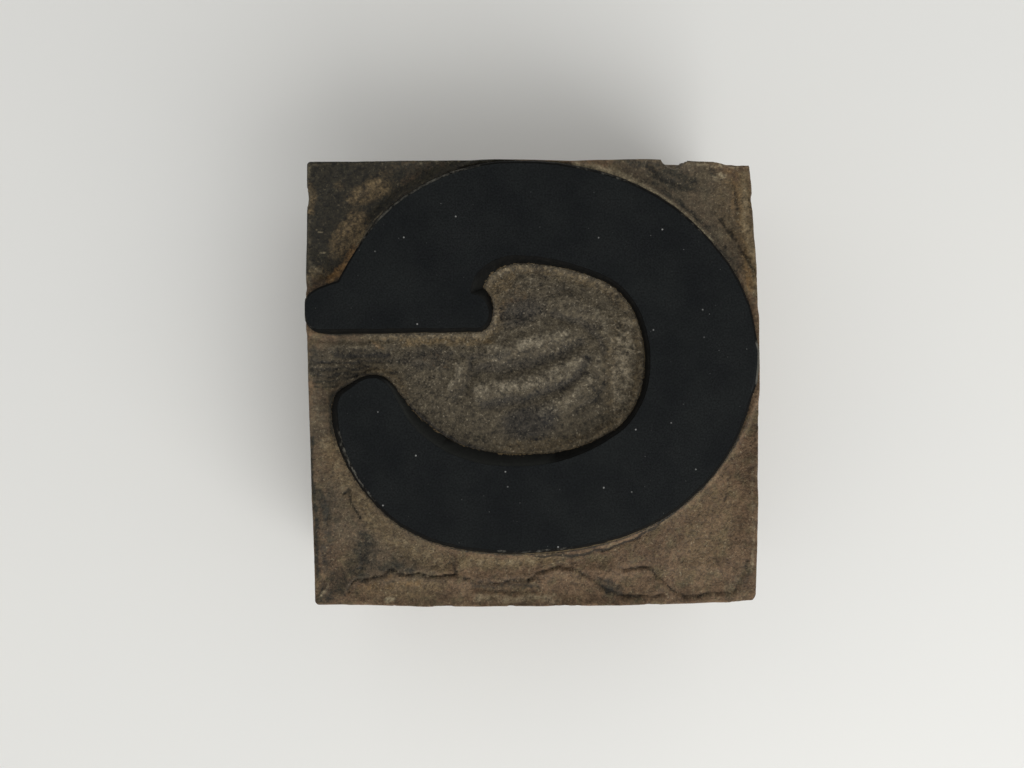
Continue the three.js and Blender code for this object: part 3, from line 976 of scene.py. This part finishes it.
PATCHES: dict[Mark, tuple[Stain, ...]] = {
    Mark.SOOT: (
        Stain(-22, 20.5, 50, 26, 16, 1.3),
        Stain(-9, 25, 5, 22, 2.6, 0.8),
        Stain(16.4, 23.2, -12, 7.8, 3.4, 0.7),
        Stain(20.6, 15.8, -60, 8, 3, 0.42),
        Stain(24.4, 20.6, 90, 4, 1.4, 0.5),
        Stain(-24, -17, 88, 18, 4, 0.45),
        Stain(-22.4, -22.5, 40, 8, 4.4, 0.64),
        Stain(-19.1, -19.4, 90, 6.4, 3.2, 0.55),
        Stain(-13, -20.4, 0, 16, 2, 0.36),
        Stain(8.6, -23.3, -30, 4.4, 2.2, 0.7),
        Stain(-3, -22.4, 0, 10, 1.8, 0.36),
        Stain(24, -22, 90, 4, 1.4, 0.4),
        Stain(-1.6, 8.2, 10, 8.4, 4.4, 0.66),
        Stain(-0.4, -4.4, 8, 9, 5.4, 0.78),
        Stain(-11.6, 3, 0, 9, 3.6, 0.5),
        Stain(-4, 0.6, 80, 9, 6, 0.22),
        Stain(3.4, 10.6, -20, 5, 1.8, 0.4),
        Stain(-24.6, 2.4, 90, 6, 1.4, 0.6),
        Stain(-20, 3.8, 0, 11, 1.6, 0.4),
    ),
    Mark.WARM: (
        Stain(-18.4, 21.8, 20, 7, 3.2, 0.82),
        Stain(-16.8, 23.8, 28, 5.4, 2, 0.34),
        Stain(-20.7, 17.1, 55, 7.8, 4, 0.82),
        Stain(-20.2, 19.6, 60, 4, 3, 0.26),
        Stain(-21.8, 22.7, 0, 1.8, 1.6, 0.4),
        Stain(-23.8, 12.4, 0, 4, 2.4, 0.45),
        Stain(22.8, 19.8, -82, 12, 5, 0.36),
        Stain(-14.6, -23.4, 2, 13, 3, 0.5),
        Stain(-3, -23.8, 0, 12, 2, 0.35),
        Stain(20, -17, 70, 18, 8, 0.4),
        Stain(-3.4, 11.2, 30, 5, 2.4, 0.45),
        Stain(10, 2, 85, 19, 5, 0.34),
        Stain(2, -7, 0, 14, 2.4, 0.35),
    ),
    Mark.RUST: (
        Stain(-16.6, 23.9, 28, 4.6, 1.6, 0.2),
        Stain(-2.4, 10, 20, 6, 3.4, 0.3),
        Stain(-10.6, 2.6, -20, 6, 2.6, 0.26),
    ),
    Mark.PALE: (
        Stain(-24.1, 12.7, 0, 2.6, 1.6, 0.26),
        Stain(21.4, 23.3, -30, 2.2, 1, 0.42),
        Stain(16, -18, 45, 17, 6, 0.16),
        Stain(0.6, 12, 0, 5, 1.4, 0.3),
        Stain(10.4, 2, 85, 18, 3.6, 0.5),
        Stain(-16.6, -24.6, 0, 1.8, 1, 0.9),
    ),
    Mark.GREY: (
        Stain(18, 20.4, -48, 28, 15, 0.7),
        Stain(13.4, 23.6, -25, 14, 5, 0.68),
        Stain(-18, -16, -50, 26, 14, 0.6),
        Stain(-20.5, 2.4, 0, 15, 8, 0.9),
        Stain(-24, -4, 88, 12, 4, 0.62),
    ),
    Mark.DIRT: (
        Stain(-22, 20.5, 50, 26, 15, 0.58),
        Stain(22.1, 15.5, 0, 0.7, 0.5, 1.2),
        Stain(21.9, 19.7, 80, 0.7, 0.4, 0.9),
    ),
}
# Spots broken out of the upper edges.
CHIPS = (
    Chip(16.4, 25.7, 3.3, 3, 2.6),
    Chip(-25.6, 21, 1.1, 3.2, 1.4),
    Chip(25.7, 20.6, 1.4, 3.4, 1.6),
    Chip(-19.7, -25.5, 1.6, 1.2, 1.4),
    Chip(-17.6, -25.5, 1.2, 1, 1.2),
    Chip(-16.1, -25.4, 1, 1.4, 1),
    Chip(24.6, -26.2, 8, 2.3, 6),
    Chip(24.4, 26, 10, 2.2, 7),
    Chip(25.6, -4.5, 0.9, 2.2, 1.2),
    Chip(-10.4, -26.1, 5, 1.9, 3),
    Chip(3, -26.1, 8, 1.8, 3),
    Chip(13, -26, 4.4, 1.7, 2.6),
    Chip(-2.6, -25.9, 2, 1.4, 1.4),
)
# Where the letter's wall lost its stain, where it took ink, and where its upper corner gets a painted
# highlight.
BARE_WALL = (
    Stripe(((-19.2, 15.4), (-20.6, 13.2), (-21.9, 11.2)), 0.8, 1),
    Stripe(((-0.5, -19.1), (4.4, -19.1), (8, -18.5), (11.6, -17)), 0.8, 0.75),
    Stripe(((16.5, 19.6), (19, 17), (21.2, 14.2)), 0.7, 0.5),
)
INKED_WALL = (
    Stripe(((-15.6, -0.8), (-13.6, -2.4), (-11.6, -5), (-8.6, -7.6), (-4.6, -9.2), (1, -9.6)), 2, 1),
    Stripe(((-6.2, 8.6), (-5.8, 10.6), (-3.4, 12)), 1.4, 0.5),
)
RIM_HIGHLIGHTS = (
    Stripe(((-17.6, 18.4), (-14, 21.2), (-10.5, 23), (-6.5, 24.2)), 1.2, 0.8),
    Stripe(((-19.6, 15.6), (-17.6, 18.4)), 0.9, 0.55),
    Stripe(((5, 24.6), (8.5, 23.9), (11.5, 22.4)), 1.2, 0.6),
    Stripe(((17, 18.6), (18.8, 16.6)), 1, 0.5),
    Stripe(((-21.7, -5.6), (-20.6, -8.3), (-18.3, -12.4)), 1.2, 0.7),
    Stripe(((-4, -18.4), (1, -18.8), (4, -18.5)), 1.2, 0.5),
    Stripe(((-25.3, 6), (-25.3, 9)), 1.4, 0.6),
    Stripe(((25.2, 4.2), (25.2, 1.4), (25.2, -1.4)), 0.9, 1.3),
)
# Small dents in the printing face.
DENTS = (
    Scoop(22.8, -5, 70, 1.6, 0.9, 0.1),
    Scoop(20.7, -7.8, 50, 1.4, 0.8, 0.1),
    Scoop(-12, 21, 30, 2, 0.8, 0.06),
    Scoop(-23.4, 9, 60, 1.8, 0.8, 0.08),
)


def merged_copy(name: str) -> bmesh.types.BMesh:
    """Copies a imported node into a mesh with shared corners.

    Args:
        name: The node.

    Returns:
        A bmesh whose loose triangles have been joined.
    """
    bm = bmesh.new()
    bm.from_mesh(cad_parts[name].data)
    bmesh.ops.remove_doubles(bm, verts=bm.verts, dist=0.001 * MM)
    return bm


def tree_of(name: str) -> BVHTree:
    """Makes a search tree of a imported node.

    Args:
        name: The node.

    Returns:
        The tree.
    """
    bm = merged_copy(name)
    tree = BVHTree.FromBMesh(bm)
    bm.free()
    return tree


def linked(name: str, data: bpy.types.ID) -> bpy.types.Object:
    """Puts a mesh, a lamp or a camera into the scene.

    Args:
        name: The object's name.
        data: What it holds.

    Returns:
        The new object.
    """
    made = bpy.data.objects.new(name, data)
    bpy.context.scene.collection.objects.link(made)
    return made


def formed(name: str, bm: bmesh.types.BMesh, material: bpy.types.Material) -> bpy.types.Object:
    """Turns a bmesh into an object.

    Args:
        name: The object's name.
        bm: Its shape, which is freed.
        material: Its finish.

    Returns:
        The new object.
    """
    mesh = bpy.data.meshes.new(name)
    bm.to_mesh(mesh)
    bm.free()
    mesh.materials.append(material)
    return linked(name, mesh)


def finished(name: str, bm: bmesh.types.BMesh, material: bpy.types.Material) -> bpy.types.Object:
    """Turns a bmesh into a piece that rides on the block.

    Args:
        name: The piece's name.
        bm: Its shape, which is freed.
        material: Its finish.

    Returns:
        The new object.
    """
    piece = formed(name, bm, material)
    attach(piece, "root")
    return piece


def keep_marks(mesh: bpy.types.Mesh, marks: Marks) -> None:
    """Stores marks on a mesh's vertices.

    Args:
        mesh: The mesh.
        marks: One value a vertex for each mark.
    """
    for mark, values in marks.items():
        layer = mesh.attributes.new(mark.value, "FLOAT", "POINT")
        layer.data.foreach_set("value", values.astype(np.float32))


def add_mark(marks: Marks, mark: Mark, amount: Array) -> None:
    """Adds to a mark, of which the stronger counts at each vertex.

    Args:
        marks: The marks so far.
        mark: The mark to add to.
        amount: One value a vertex.
    """
    marks[mark] = np.maximum(marks[mark], amount)


def corners_of(mesh: bpy.types.Mesh) -> Array:
    """Reads a mesh's vertices.

    Args:
        mesh: The mesh.

    Returns:
        Their places in rows of millimetres.
    """
    flat = np.zeros(len(mesh.vertices) * 3)
    mesh.vertices.foreach_get("co", flat)
    return flat.reshape(-1, 3) / MM


def set_corners(mesh: bpy.types.Mesh, spots: Array) -> None:
    """Moves a mesh's vertices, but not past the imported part's box.

    Args:
        mesh: The mesh.
        spots: The new places in rows of millimetres.
    """
    low, high = (np.array(corner) / MM for corner in cad_box)
    mesh.vertices.foreach_set("co", (np.clip(spots, low, high) * MM).ravel())
    mesh.update()


@dataclass
class BodyBlock:
    """The squat block: its gouged ground, the rise to the letter's seat, and its worn sides."""

    wood: BlockWood = field(default_factory=BlockWood)
    cells: int = 240
    corner_rounds: tuple[float, float, float, float] = (0.4, 0.6, 0.5, 1.1)
    seat_drop: float = 0.03
    ground_drop: float = 0.45
    scoop_share: float = 0.8
    ledge: float = 0.16
    slope: float = 0.5
    edge_wear: float = 0.16
    foot_wear: float = 0.3
    stain_run: float = 5.0
    rings: tuple[float, ...] = (
        0.01, 0.03, 0.06, 0.1, 0.16, 0.24, 0.34, 0.46, 0.58, 0.7, 0.82, 0.92, 0.985, 1.0,
    )
    bowl: Stain = Stain(0.0, 3.2, 0.0, 46.0, 40.0, 1.0, 0.8, 0.95)
    # painted shade along the letter's foot: where it reaches further, how far it reaches, and how much less
    # of it lies in the open bowl and on raised ground
    shaded_corner: Stain = Stain(-9.5, -4.5, 0.0, 2.0, 2.0, 1.0, 3.0, 7.0)
    soot_reach: tuple[float, float] = (0.05, 0.3)
    bowl_shade_cut: float = 0.6
    shade_fade_rise: tuple[float, float] = (0.1, 0.6)
    rise_shade_cut: float = 0.75
    scuff_start: float = 0.2
    scuff_reach: tuple[float, float] = (0.5, 2.2)
    scuff_pale_reach: tuple[float, float] = (0.3, 1.0)
    least_bank: float = 0.02
    side_start: float = 0.03
    run_start: float = 0.1
    line_core: float = 0.1
    line_end: float = 0.7
    calm_start: float = 0.1
    calm_end: float = 1.6
    # how dark the painted shade along the letter's foot is
    foot_soot: float = 0.9
    scuff_warm: float = 0.42
    scuff_pale: float = 0.3
    wear_floor: float = 0.6
    edge_drop: float = 0.4
    edge_reach: float = 0.01
    chip_lift: float = 0.2
    chip_inward: float = 0.8
    chip_down: float = 0.6
    chip_side: float = 25.0
    chip_pale: float = 0.35
    chip_pale_reach: tuple[float, float] = (0.05, 0.4)
    sharp_angle: float = 65.0
    wander_x: tuple[Ripple, ...] = (Ripple(0.35, 1.6, 3.1), Ripple(0.12, 0.5, 8.4))
    wander_y: tuple[Ripple, ...] = (Ripple(0.35, 1.6, 5.7), Ripple(0.12, 0.5, 9.9))
    tremor: tuple[Ripple, ...] = (Ripple(0.10, 2.4, 1.3), Ripple(0.05, 0.8, 2.2), Ripple(0.03, 0.35, 4.4))
    ledge_ripple: Ripple = Ripple(1.0, 3.0, 6.1)
    run_ripple: Ripple = Ripple(0.8, 1.5, 8.8)
    wear_ripple: Ripple = Ripple(0.8, 1.8, 7.7)
    side_ripple: Ripple = Ripple(0.05, 4.0, 2.9)
    chip_ripple: Ripple = Ripple(0.2, 0.9, 4.8)

    def blank(self) -> tuple[bmesh.types.BMesh, Array]:
        """Makes a closed box with a fine upper face and rings of faces down its sides.

        Returns:
            The box, and for each vertex the number of its ring, 0 on the upper face.
        """
        low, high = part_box("body_block")
        bm = bmesh.new()
        bmesh.ops.create_grid(bm, x_segments=self.cells, y_segments=self.cells, size=0.5)
        bmesh.ops.scale(bm, vec=(high.x - low.x, high.y - low.y, 1.0), verts=bm.verts)
        ring = bm.verts.layers.int.new("ring")
        rim = [edge for edge in bm.edges if edge.is_boundary]
        for number in range(1, len(self.rings) + 1):
            grown = bmesh.ops.extrude_edge_only(bm, edges=rim)["geom"]
            for vert in grown:
                if isinstance(vert, bmesh.types.BMVert):
                    vert[ring] = number
            rim = [edge for edge in grown if isinstance(edge, bmesh.types.BMEdge) and edge.is_boundary]
        bmesh.ops.edgeloop_fill(bm, edges=rim)
        numbers = np.array([vert[ring] for vert in bm.verts])
        bm.verts.layers.int.remove(ring)
        return bm, numbers

    def beside_letter(self, at: Plan) -> Array:
        """Measures how far places lie outside the letter's foot.

        Args:
            at: The places.

        Returns:
            Distances, which are 0 under the letter.
        """
        tree = tree_of("letter_plate")
        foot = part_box("letter_plate")[0].z
        gaps = np.zeros(at.x.shape)
        for number, (x, y) in enumerate(zip(at.x * MM, at.y * MM)):
            if tree.ray_cast(Vector((x, y, foot - MM)), UP)[0] is None:
                gaps[number] = tree.find_nearest(Vector((x, y, foot)))[3] / MM
        return gaps

    def shows(self, at: Plan, height: Array) -> Array:
        """Tells where ground of some height shows beside the letter, and one cell further in.

        Args:
            at: The places.
            height: The ground's height over the letter's foot.

        Returns:
            False where the letter hides the ground.
        """
        tree = tree_of("letter_plate")
        low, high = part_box("letter_plate")
        side = np.max(np.abs(at.x))
        step = 2 * side / self.cells
        within = 0.999 * side
        shown = np.zeros(height.shape, bool)
        raised = np.flatnonzero(height > self.least_bank)
        for shift_x, shift_y in itertools.product((-step, 0.0, step), repeat=2):
            for number in raised:
                x = float(np.clip(at.x[number] + shift_x, -within, within))
                y = float(np.clip(at.y[number] + shift_y, -within, within))
                hit = tree.ray_cast(Vector((x * MM, y * MM, high.z + MM)), -UP)[0]
                shown[number] |= hit is None or (hit.z - low.z) / MM < height[number]
        return shown

    def ground(self, at: Plan, gap: Array, marks: Marks) -> Array:
        """Works out the cut ground's height below the seat, and what stains it.

        Args:
            at: The places.
            gap: Distance from the letter's foot.
            marks: The marks to add to.

        Returns:
            Heights, 0 at the seat and negative below it.
        """
        off = Plan(at.x + layered(self.wander_x, at), at.y + layered(self.wander_y, at))
        mound, dish, scoop = (
            np.max([part.cut(off) for part in parts], axis=0) for parts in (MOUNDS, DISHES, SCOOPS)
        )
        height = mound - dish - self.scoop_share * scoop
        for crease in CREASES:
            relief, dirt = crease.traces(off)
            height += relief
            add_mark(marks, Mark.DIRT, dirt)
        for mark, stripes in LINES.items():
            for stripe in stripes:
                cover = stripe.cover(off, self.line_core, self.line_end)
                height += stripe.rise * cover
                add_mark(marks, mark, stripe.amount * cover)
        for mark, stains in PATCHES.items():
            for stain in stains:
                add_mark(marks, mark, stain.cover(off))
        height += layered(self.tremor, at)
        ledge = self.ledge * (1 + self.ledge_ripple.height(at))
        fall = fade(gap, ledge, ledge + self.slope)
        bank = np.max([part.swell(at) for part in BANKS], axis=0)
        bank *= self.shows(at, bank)
        height *= fade(gap, self.calm_start, self.calm_end)
        return fall * (height - self.ground_drop) + bank - self.seat_drop

    def shade_and_scuff_foot(self, at: Plan, upper: Array, gap: Array, rise: Array, marks: Marks) -> None:
        """Paints shade on the ground along the letter's foot, less inside the bowl except at its lower left,
        and scuffs the ground just inside the bowl.

        Args:
            at: The places.
            upper: True for those on the upper face.
            gap: Their distance from the letter's foot.
            rise: Their height over the seat.
            marks: The marks to add to.
        """
        # painted shade, darkest at the letter's foot
        cornered = self.shaded_corner.cover(at)
        open_bowl = self.bowl.cover(at) * (1 - cornered)
        start, end = self.soot_reach
        dark = (1 - fade(gap, start, end * (1 + cornered))) * (1 - self.bowl_shade_cut * open_bowl)
        dark *= (1 - self.rise_shade_cut * fade(rise, *self.shade_fade_rise)) * upper
        scuffed = open_bowl * fade(gap, 0.0, self.scuff_start) * (1 - fade(gap, *self.scuff_reach))
        add_mark(marks, Mark.SOOT, self.foot_soot * dark)
        add_mark(marks, Mark.WARM, self.scuff_warm * scuffed)
        add_mark(marks, Mark.PALE, self.scuff_pale * scuffed * (1 - fade(gap, *self.scuff_pale_reach)))

    def shape(self, spots: Array, numbers: Array, marks: Marks) -> Array:
        """Moves the blank's vertices to the worn block.

        Args:
            spots: The blank's vertices in millimetres.
            numbers: The ring of each vertex.
            marks: The marks to add to.

        Returns:
            The new places of the vertices.
        """
        low, high = (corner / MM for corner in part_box("body_block"))
        at = Plan(spots[:, 0], spots[:, 1])
        gap = self.beside_letter(at)
        under_edge = np.concatenate(([0.0], self.rings))[numbers]
        marks[Mark.SIDE][:] = fade(under_edge, 0.0, self.side_start)
        add_mark(marks, Mark.GREY, self.bowl.cover(at))
        rise = self.ground(at, gap, marks)
        self.shade_and_scuff_foot(at, numbers == 0, gap, rise, marks)
        z = (high.z + rise) * (1 - under_edge) + low.z * under_edge
        run = self.stain_run * (1 + self.run_ripple.height(Plan(at.x + at.y, at.x - at.y)))
        kept = 1 - fade(under_edge * (high.z - low.z), self.run_start * run, run)
        for mark in Mark:
            if mark is not Mark.SIDE:
                marks[mark] *= kept
        x, y = rounded = self.round_uprights(at, high)
        on_x, on_y = (np.abs(spots[:, axis]) > high[axis] - self.edge_reach for axis in (0, 1))
        on_edge = (numbers == 0) & (on_x | on_y)
        uneven = self.wear_floor + np.abs(self.wear_ripple.height(rounded))
        wear = np.where(on_edge, self.edge_wear * uneven, 0)
        inward = wear + np.where(numbers == len(self.rings), self.foot_wear, 0)
        inward += np.where(numbers > 0, np.abs(self.side_ripple.height(Plan(x + y, z))), 0)
        x = x - np.where(on_x, np.sign(x) * inward, 0)
        y = y - np.where(on_y, np.sign(y) * inward, 0)
        z -= self.edge_drop * wear
        return self.break_edges(np.stack((x, y, z), axis=1), marks)

    def round_uprights(self, at: Plan, high: Vector) -> Plan:
        """Presses the plan's four square corners into round ones.

        Args:
            at: The places.
            high: The block's upper corner.

        Returns:
            The new places.
        """
        x, y = at
        sizes = np.reshape(self.corner_rounds, (2, 2))
        size = sizes[(y < 0).astype(int), (x > 0).astype(int)]
        u = np.clip((np.abs(x) - high.x + size) / size, 0, 1)
        v = np.clip((np.abs(y) - high.y + size) / size, 0, 1)
        corner = (u > 0) & (v > 0)
        new_x = np.sign(x) * (high.x - size + size * u * np.sqrt(1 - v * v / 2))
        new_y = np.sign(y) * (high.y - size + size * v * np.sqrt(1 - u * u / 2))
        return Plan(np.where(corner, new_x, x), np.where(corner, new_y, y))

    def break_edges(self, spots: Array, marks: Marks) -> Array:
        """Breaks the chips out of the upper edges.

        Args:
            spots: Places of the vertices.
            marks: The marks to add to.

        Returns:
            The new places.
        """
        level = np.median(spots[:, 2])
        ragged = 1 + self.chip_ripple.height(Plan(spots[:, 0], spots[:, 1]))
        for chip in CHIPS:
            centre = np.array((chip.x, chip.y, level + self.chip_lift))
            size = np.array((chip.length, chip.width, 2 * chip.depth)) / 2
            inward = -centre * (np.abs(centre) > self.chip_side)
            way = inward / np.linalg.norm(inward) * self.chip_inward - np.array((0.0, 0.0, self.chip_down))
            start = (spots - centre) / size
            step = way / size
            far = np.sum(start**2, axis=1)
            a, b = np.sum(step**2), np.sum(start * step, axis=1)
            room = np.clip(b * b - a * (far - ragged), 0, None)
            travel = np.where(far < ragged, (np.sqrt(room) - b) / a, 0)
            spots = spots + travel[:, None] * way
            add_mark(marks, Mark.PALE, self.chip_pale * fade(travel, *self.chip_pale_reach))
        return spots

    def build(self) -> bpy.types.Object:
        """Makes the block.

        Returns:
            The new object.
        """
        bm, numbers = self.blank()
        bmesh.ops.recalc_face_normals(bm, faces=bm.faces)
        piece = finished("block", bm, self.wood.material())
        mesh = piece.data
        marks = {mark: np.zeros(len(mesh.vertices)) for mark in Mark}
        set_corners(mesh, self.shape(corners_of(mesh), numbers, marks))
        keep_marks(mesh, marks)
        mesh.shade_smooth()
        mesh.set_sharp_from_angle(angle=math.radians(self.sharp_angle))
        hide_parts("body_block")
        return piece


@dataclass
class RaisedLetter:
    """The letter's plate with the ink on it, both cut from their solids and given a hand-cut edge."""

    wood: StainedWood = field(default_factory=StainedWood)
    ink: DriedInk = field(default_factory=DriedInk)
    slice_width: float = 1.6
    wobble_x: tuple[Ripple, ...] = (Ripple(0.06, 2.2, 11.3), Ripple(0.03, 0.9, 12.1))
    wobble_y: tuple[Ripple, ...] = (Ripple(0.06, 2.2, 13.7), Ripple(0.03, 0.9, 14.9))
    sag: Ripple = Ripple(0.05, 6.0, 15.2)
    line_core: float = 0.5
    rim_depth: float = 0.42
    flat_reach: float = 0.02
    flush_reach: float = 0.3
    trim_width: float = 1.0
    trim_middle: float = 1.4
    trim_reach: float = 3.4
    trim_shift: float = 0.3
    foot_ink: float = 0.3
    sharp_angle: float = 35.0

    def sliced(self, node: str) -> bmesh.types.BMesh:
        """Copies a node and slices its flat faces so that they can bend.

        Args:
            node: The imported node.

        Returns:
            The sliced shape.
        """
        bm = merged_copy(node)
        bmesh.ops.dissolve_limit(bm, angle_limit=math.radians(0.5), verts=bm.verts, edges=bm.edges)
        low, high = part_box(node)
        for axis in (0, 1):
            size = high[axis] - low[axis]
            count = int(size / (self.slice_width * MM))
            for number in range(1, count):
                spot = Vector((0.0, 0.0, 0.0))
                spot[axis] = low[axis] + size * number / count
                way = Vector((0.0, 0.0, 0.0))
                way[axis] = 1.0
                geom = bm.verts[:] + bm.edges[:] + bm.faces[:]
                bmesh.ops.bisect_plane(bm, geom=geom, dist=0.002 * MM, plane_co=spot, plane_no=way)
        return bm

    def wear(self, mesh: bpy.types.Mesh) -> None:
        """Makes the edge wander, trims it at the flank and lets the face sink a little.

        Args:
            mesh: The plate's or the ink's mesh.
        """
        x, y, z = corners_of(mesh).T
        at = Plan(x, y)
        side_x, side_y = (part / MM for part in cad_box[1][:2])
        top = np.max(z)
        upper = z > top - self.flat_reach
        flush = (np.abs(x) > side_x - self.flush_reach) | (np.abs(y) > side_y - self.flush_reach)
        trimmed = (x > side_x - self.trim_width) & ~upper & (z > top - self.rim_depth)
        away = fade(np.abs(y - self.trim_middle), 0.5 * self.trim_reach, self.trim_reach)
        move_x = np.where(trimmed, self.trim_shift * (1 - away), layered(self.wobble_x, at))
        move_y = layered(self.wobble_y, at)
        dent = np.max([part.cut(at) for part in DENTS], axis=0)
        sink = np.where(upper, np.abs(self.sag.height(at)) + dent, 0)
        spots = (x + np.where(flush, 0, move_x), y + np.where(flush, 0, move_y), z - sink)
        set_corners(mesh, np.stack(spots, axis=1))

    def marks(self, mesh: bpy.types.Mesh) -> Marks:
        """Works out where the corner gets a painted highlight, the wall is bare or inked, and its foot
        frayed.

        Args:
            mesh: The plate's or the ink's mesh before it is worn.

        Returns:
            One value a vertex for each mark.
        """
        x, y, z = corners_of(mesh).T
        at = Plan(x, y)

        def strongest(stripes: tuple[Stripe, ...], outer: float) -> Array:
            """Gives the strongest of some lines at each vertex."""
            covers = [stripe.amount * stripe.cover(at, self.line_core, outer) for stripe in stripes]
            return np.max(covers, axis=0)

        corner = np.max(z) - self.rim_depth
        lift = z - np.min(z)
        share = self.foot_ink + (1 - self.foot_ink) * lift / max(np.max(lift), MM)
        return {
            Mark.RIM: strongest(RIM_HIGHLIGHTS, 1.0) * (z > corner),
            Mark.RUST: strongest(BARE_WALL, 1.5) * (z < corner),
            Mark.GREY: strongest(INKED_WALL, 1.0) * share,
            Mark.PALE: (lift < self.flat_reach).astype(float),
        }

    def layer(self, name: str, node: str, slot: str, material: bpy.types.Material) -> bpy.types.Object:
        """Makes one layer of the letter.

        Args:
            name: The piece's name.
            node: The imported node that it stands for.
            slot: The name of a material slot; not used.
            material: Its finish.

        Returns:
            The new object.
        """
        piece = finished(name, self.sliced(node), material)
        mesh = piece.data
        keep_marks(mesh, self.marks(mesh))
        self.wear(mesh)
        mesh.shade_smooth()
        mesh.set_sharp_from_angle(angle=math.radians(self.sharp_angle))
        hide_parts(node)
        return piece

    def build(self) -> list[bpy.types.Object]:
        """Makes the plate and the ink."""
        return [
            self.layer("raised_letter", "letter_plate", "stained_wood", self.wood.material()),
            self.layer("printing_ink", "ink_film", "dried_ink", self.ink.material()),
        ]


@dataclass
class GlueLine:
    """The glue under the letter, whose solid is right as it is."""

    glue: HideGlue = field(default_factory=HideGlue)

    def dress(self) -> bpy.types.Object:
        """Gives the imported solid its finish.

        Returns:
            The solid's object.
        """
        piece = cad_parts["glue_film"]
        piece.data.materials.clear()
        piece.data.materials.append(self.glue.material())
        return piece


@dataclass
class Studio:
    """The table, the soft light that comes mostly from the front, and the camera straight above."""

    table: TableTop = field(default_factory=TableTop)
    table_size: float = 3000.0
    sky: Colour = linear(233, 233, 232)
    horizon_light: float = 1.3
    zenith_light: float = 0.4
    zenith_start: float = 0.9
    lamp_place: Spot = (220.0, -400.0, 310.0)
    lamp_size: float = 500.0
    lamp_watts: float = 2.65
    camera_place: Spot = (-2.357, -0.049, 111.6)
    camera_turn: float = -0.53
    lens: float = 28.0

    def lay_table(self) -> None:
        """Lays the table under the foot."""
        bm = bmesh.new()
        bmesh.ops.create_grid(bm, x_segments=4, y_segments=4, size=self.table_size / 2 * MM)
        table = formed("table", bm, self.table.material())

    def light(self) -> None:
        """Sets the sky, which is brighter towards the horizon, and the one large lamp."""
        world = bpy.data.worlds.new("studio_sky")
        g = Graph(world)
        way = g.node("TexCoord", output="Generated")
        lift = g.node("SeparateXYZ", None, {0: way}, "Z")
        rise = lift.band(0.0, self.zenith_start)
        level = self.horizon_light + (self.zenith_light - self.horizon_light) * rise
        soft = g.node("Background", None, {"Color": (1.0, 1.0, 1.0, 1.0), "Strength": level})
        shown = g.node("Background", None, {"Color": (*self.sky, 1.0), "Strength": 1.0})
        kinds = ("Camera", "Glossy", "Transmission")
        rays = [g.node("LightPath", output=f"Is {kind} Ray") for kind in kinds]
        seen = rays[0].highest(rays[1]).highest(rays[2])
        g.end("World", g.node("MixShader", None, {0: seen, 1: soft, 2: shown}))
        bpy.context.scene.world = world
        lamp = bpy.data.lights.new("soft_lamp", "AREA")
        lamp.size = self.lamp_size * MM
        lamp.energy = self.lamp_watts
        holder = linked("soft_lamp", lamp)
        holder.location = Vector(self.lamp_place) * MM
        holder.rotation_euler = (-holder.location).to_track_quat("-Z", "Y").to_euler()

    def aim(self) -> None:
        """Sets the camera that looks straight down on the printing face."""
        camera = bpy.data.cameras.new("camera")
        camera.lens = self.lens
        camera.clip_start = MM
        holder = linked("camera", camera)
        holder.location = Vector(self.camera_place) * MM
        holder.rotation_euler = (0.0, 0.0, math.radians(self.camera_turn))
        bpy.context.scene.camera = holder

    def build(self) -> None:
        """Sets up everything round the object."""
        self.lay_table()
        self.light()
        self.aim()
        bpy.context.scene.view_settings.view_transform = "Standard"


def main() -> None:
    """Builds the stamp, logs each piece's face count and sets up the studio."""
    logging.basicConfig(level=logging.INFO, format="%(message)s")
    pieces = [BodyBlock().build(), GlueLine().dress(), *RaisedLetter().build()]
    for piece in pieces:
        log.info("%s: %d faces", piece.name, len(piece.data.polygons))
    Studio().build()


if __name__ == "__main__":
    main()
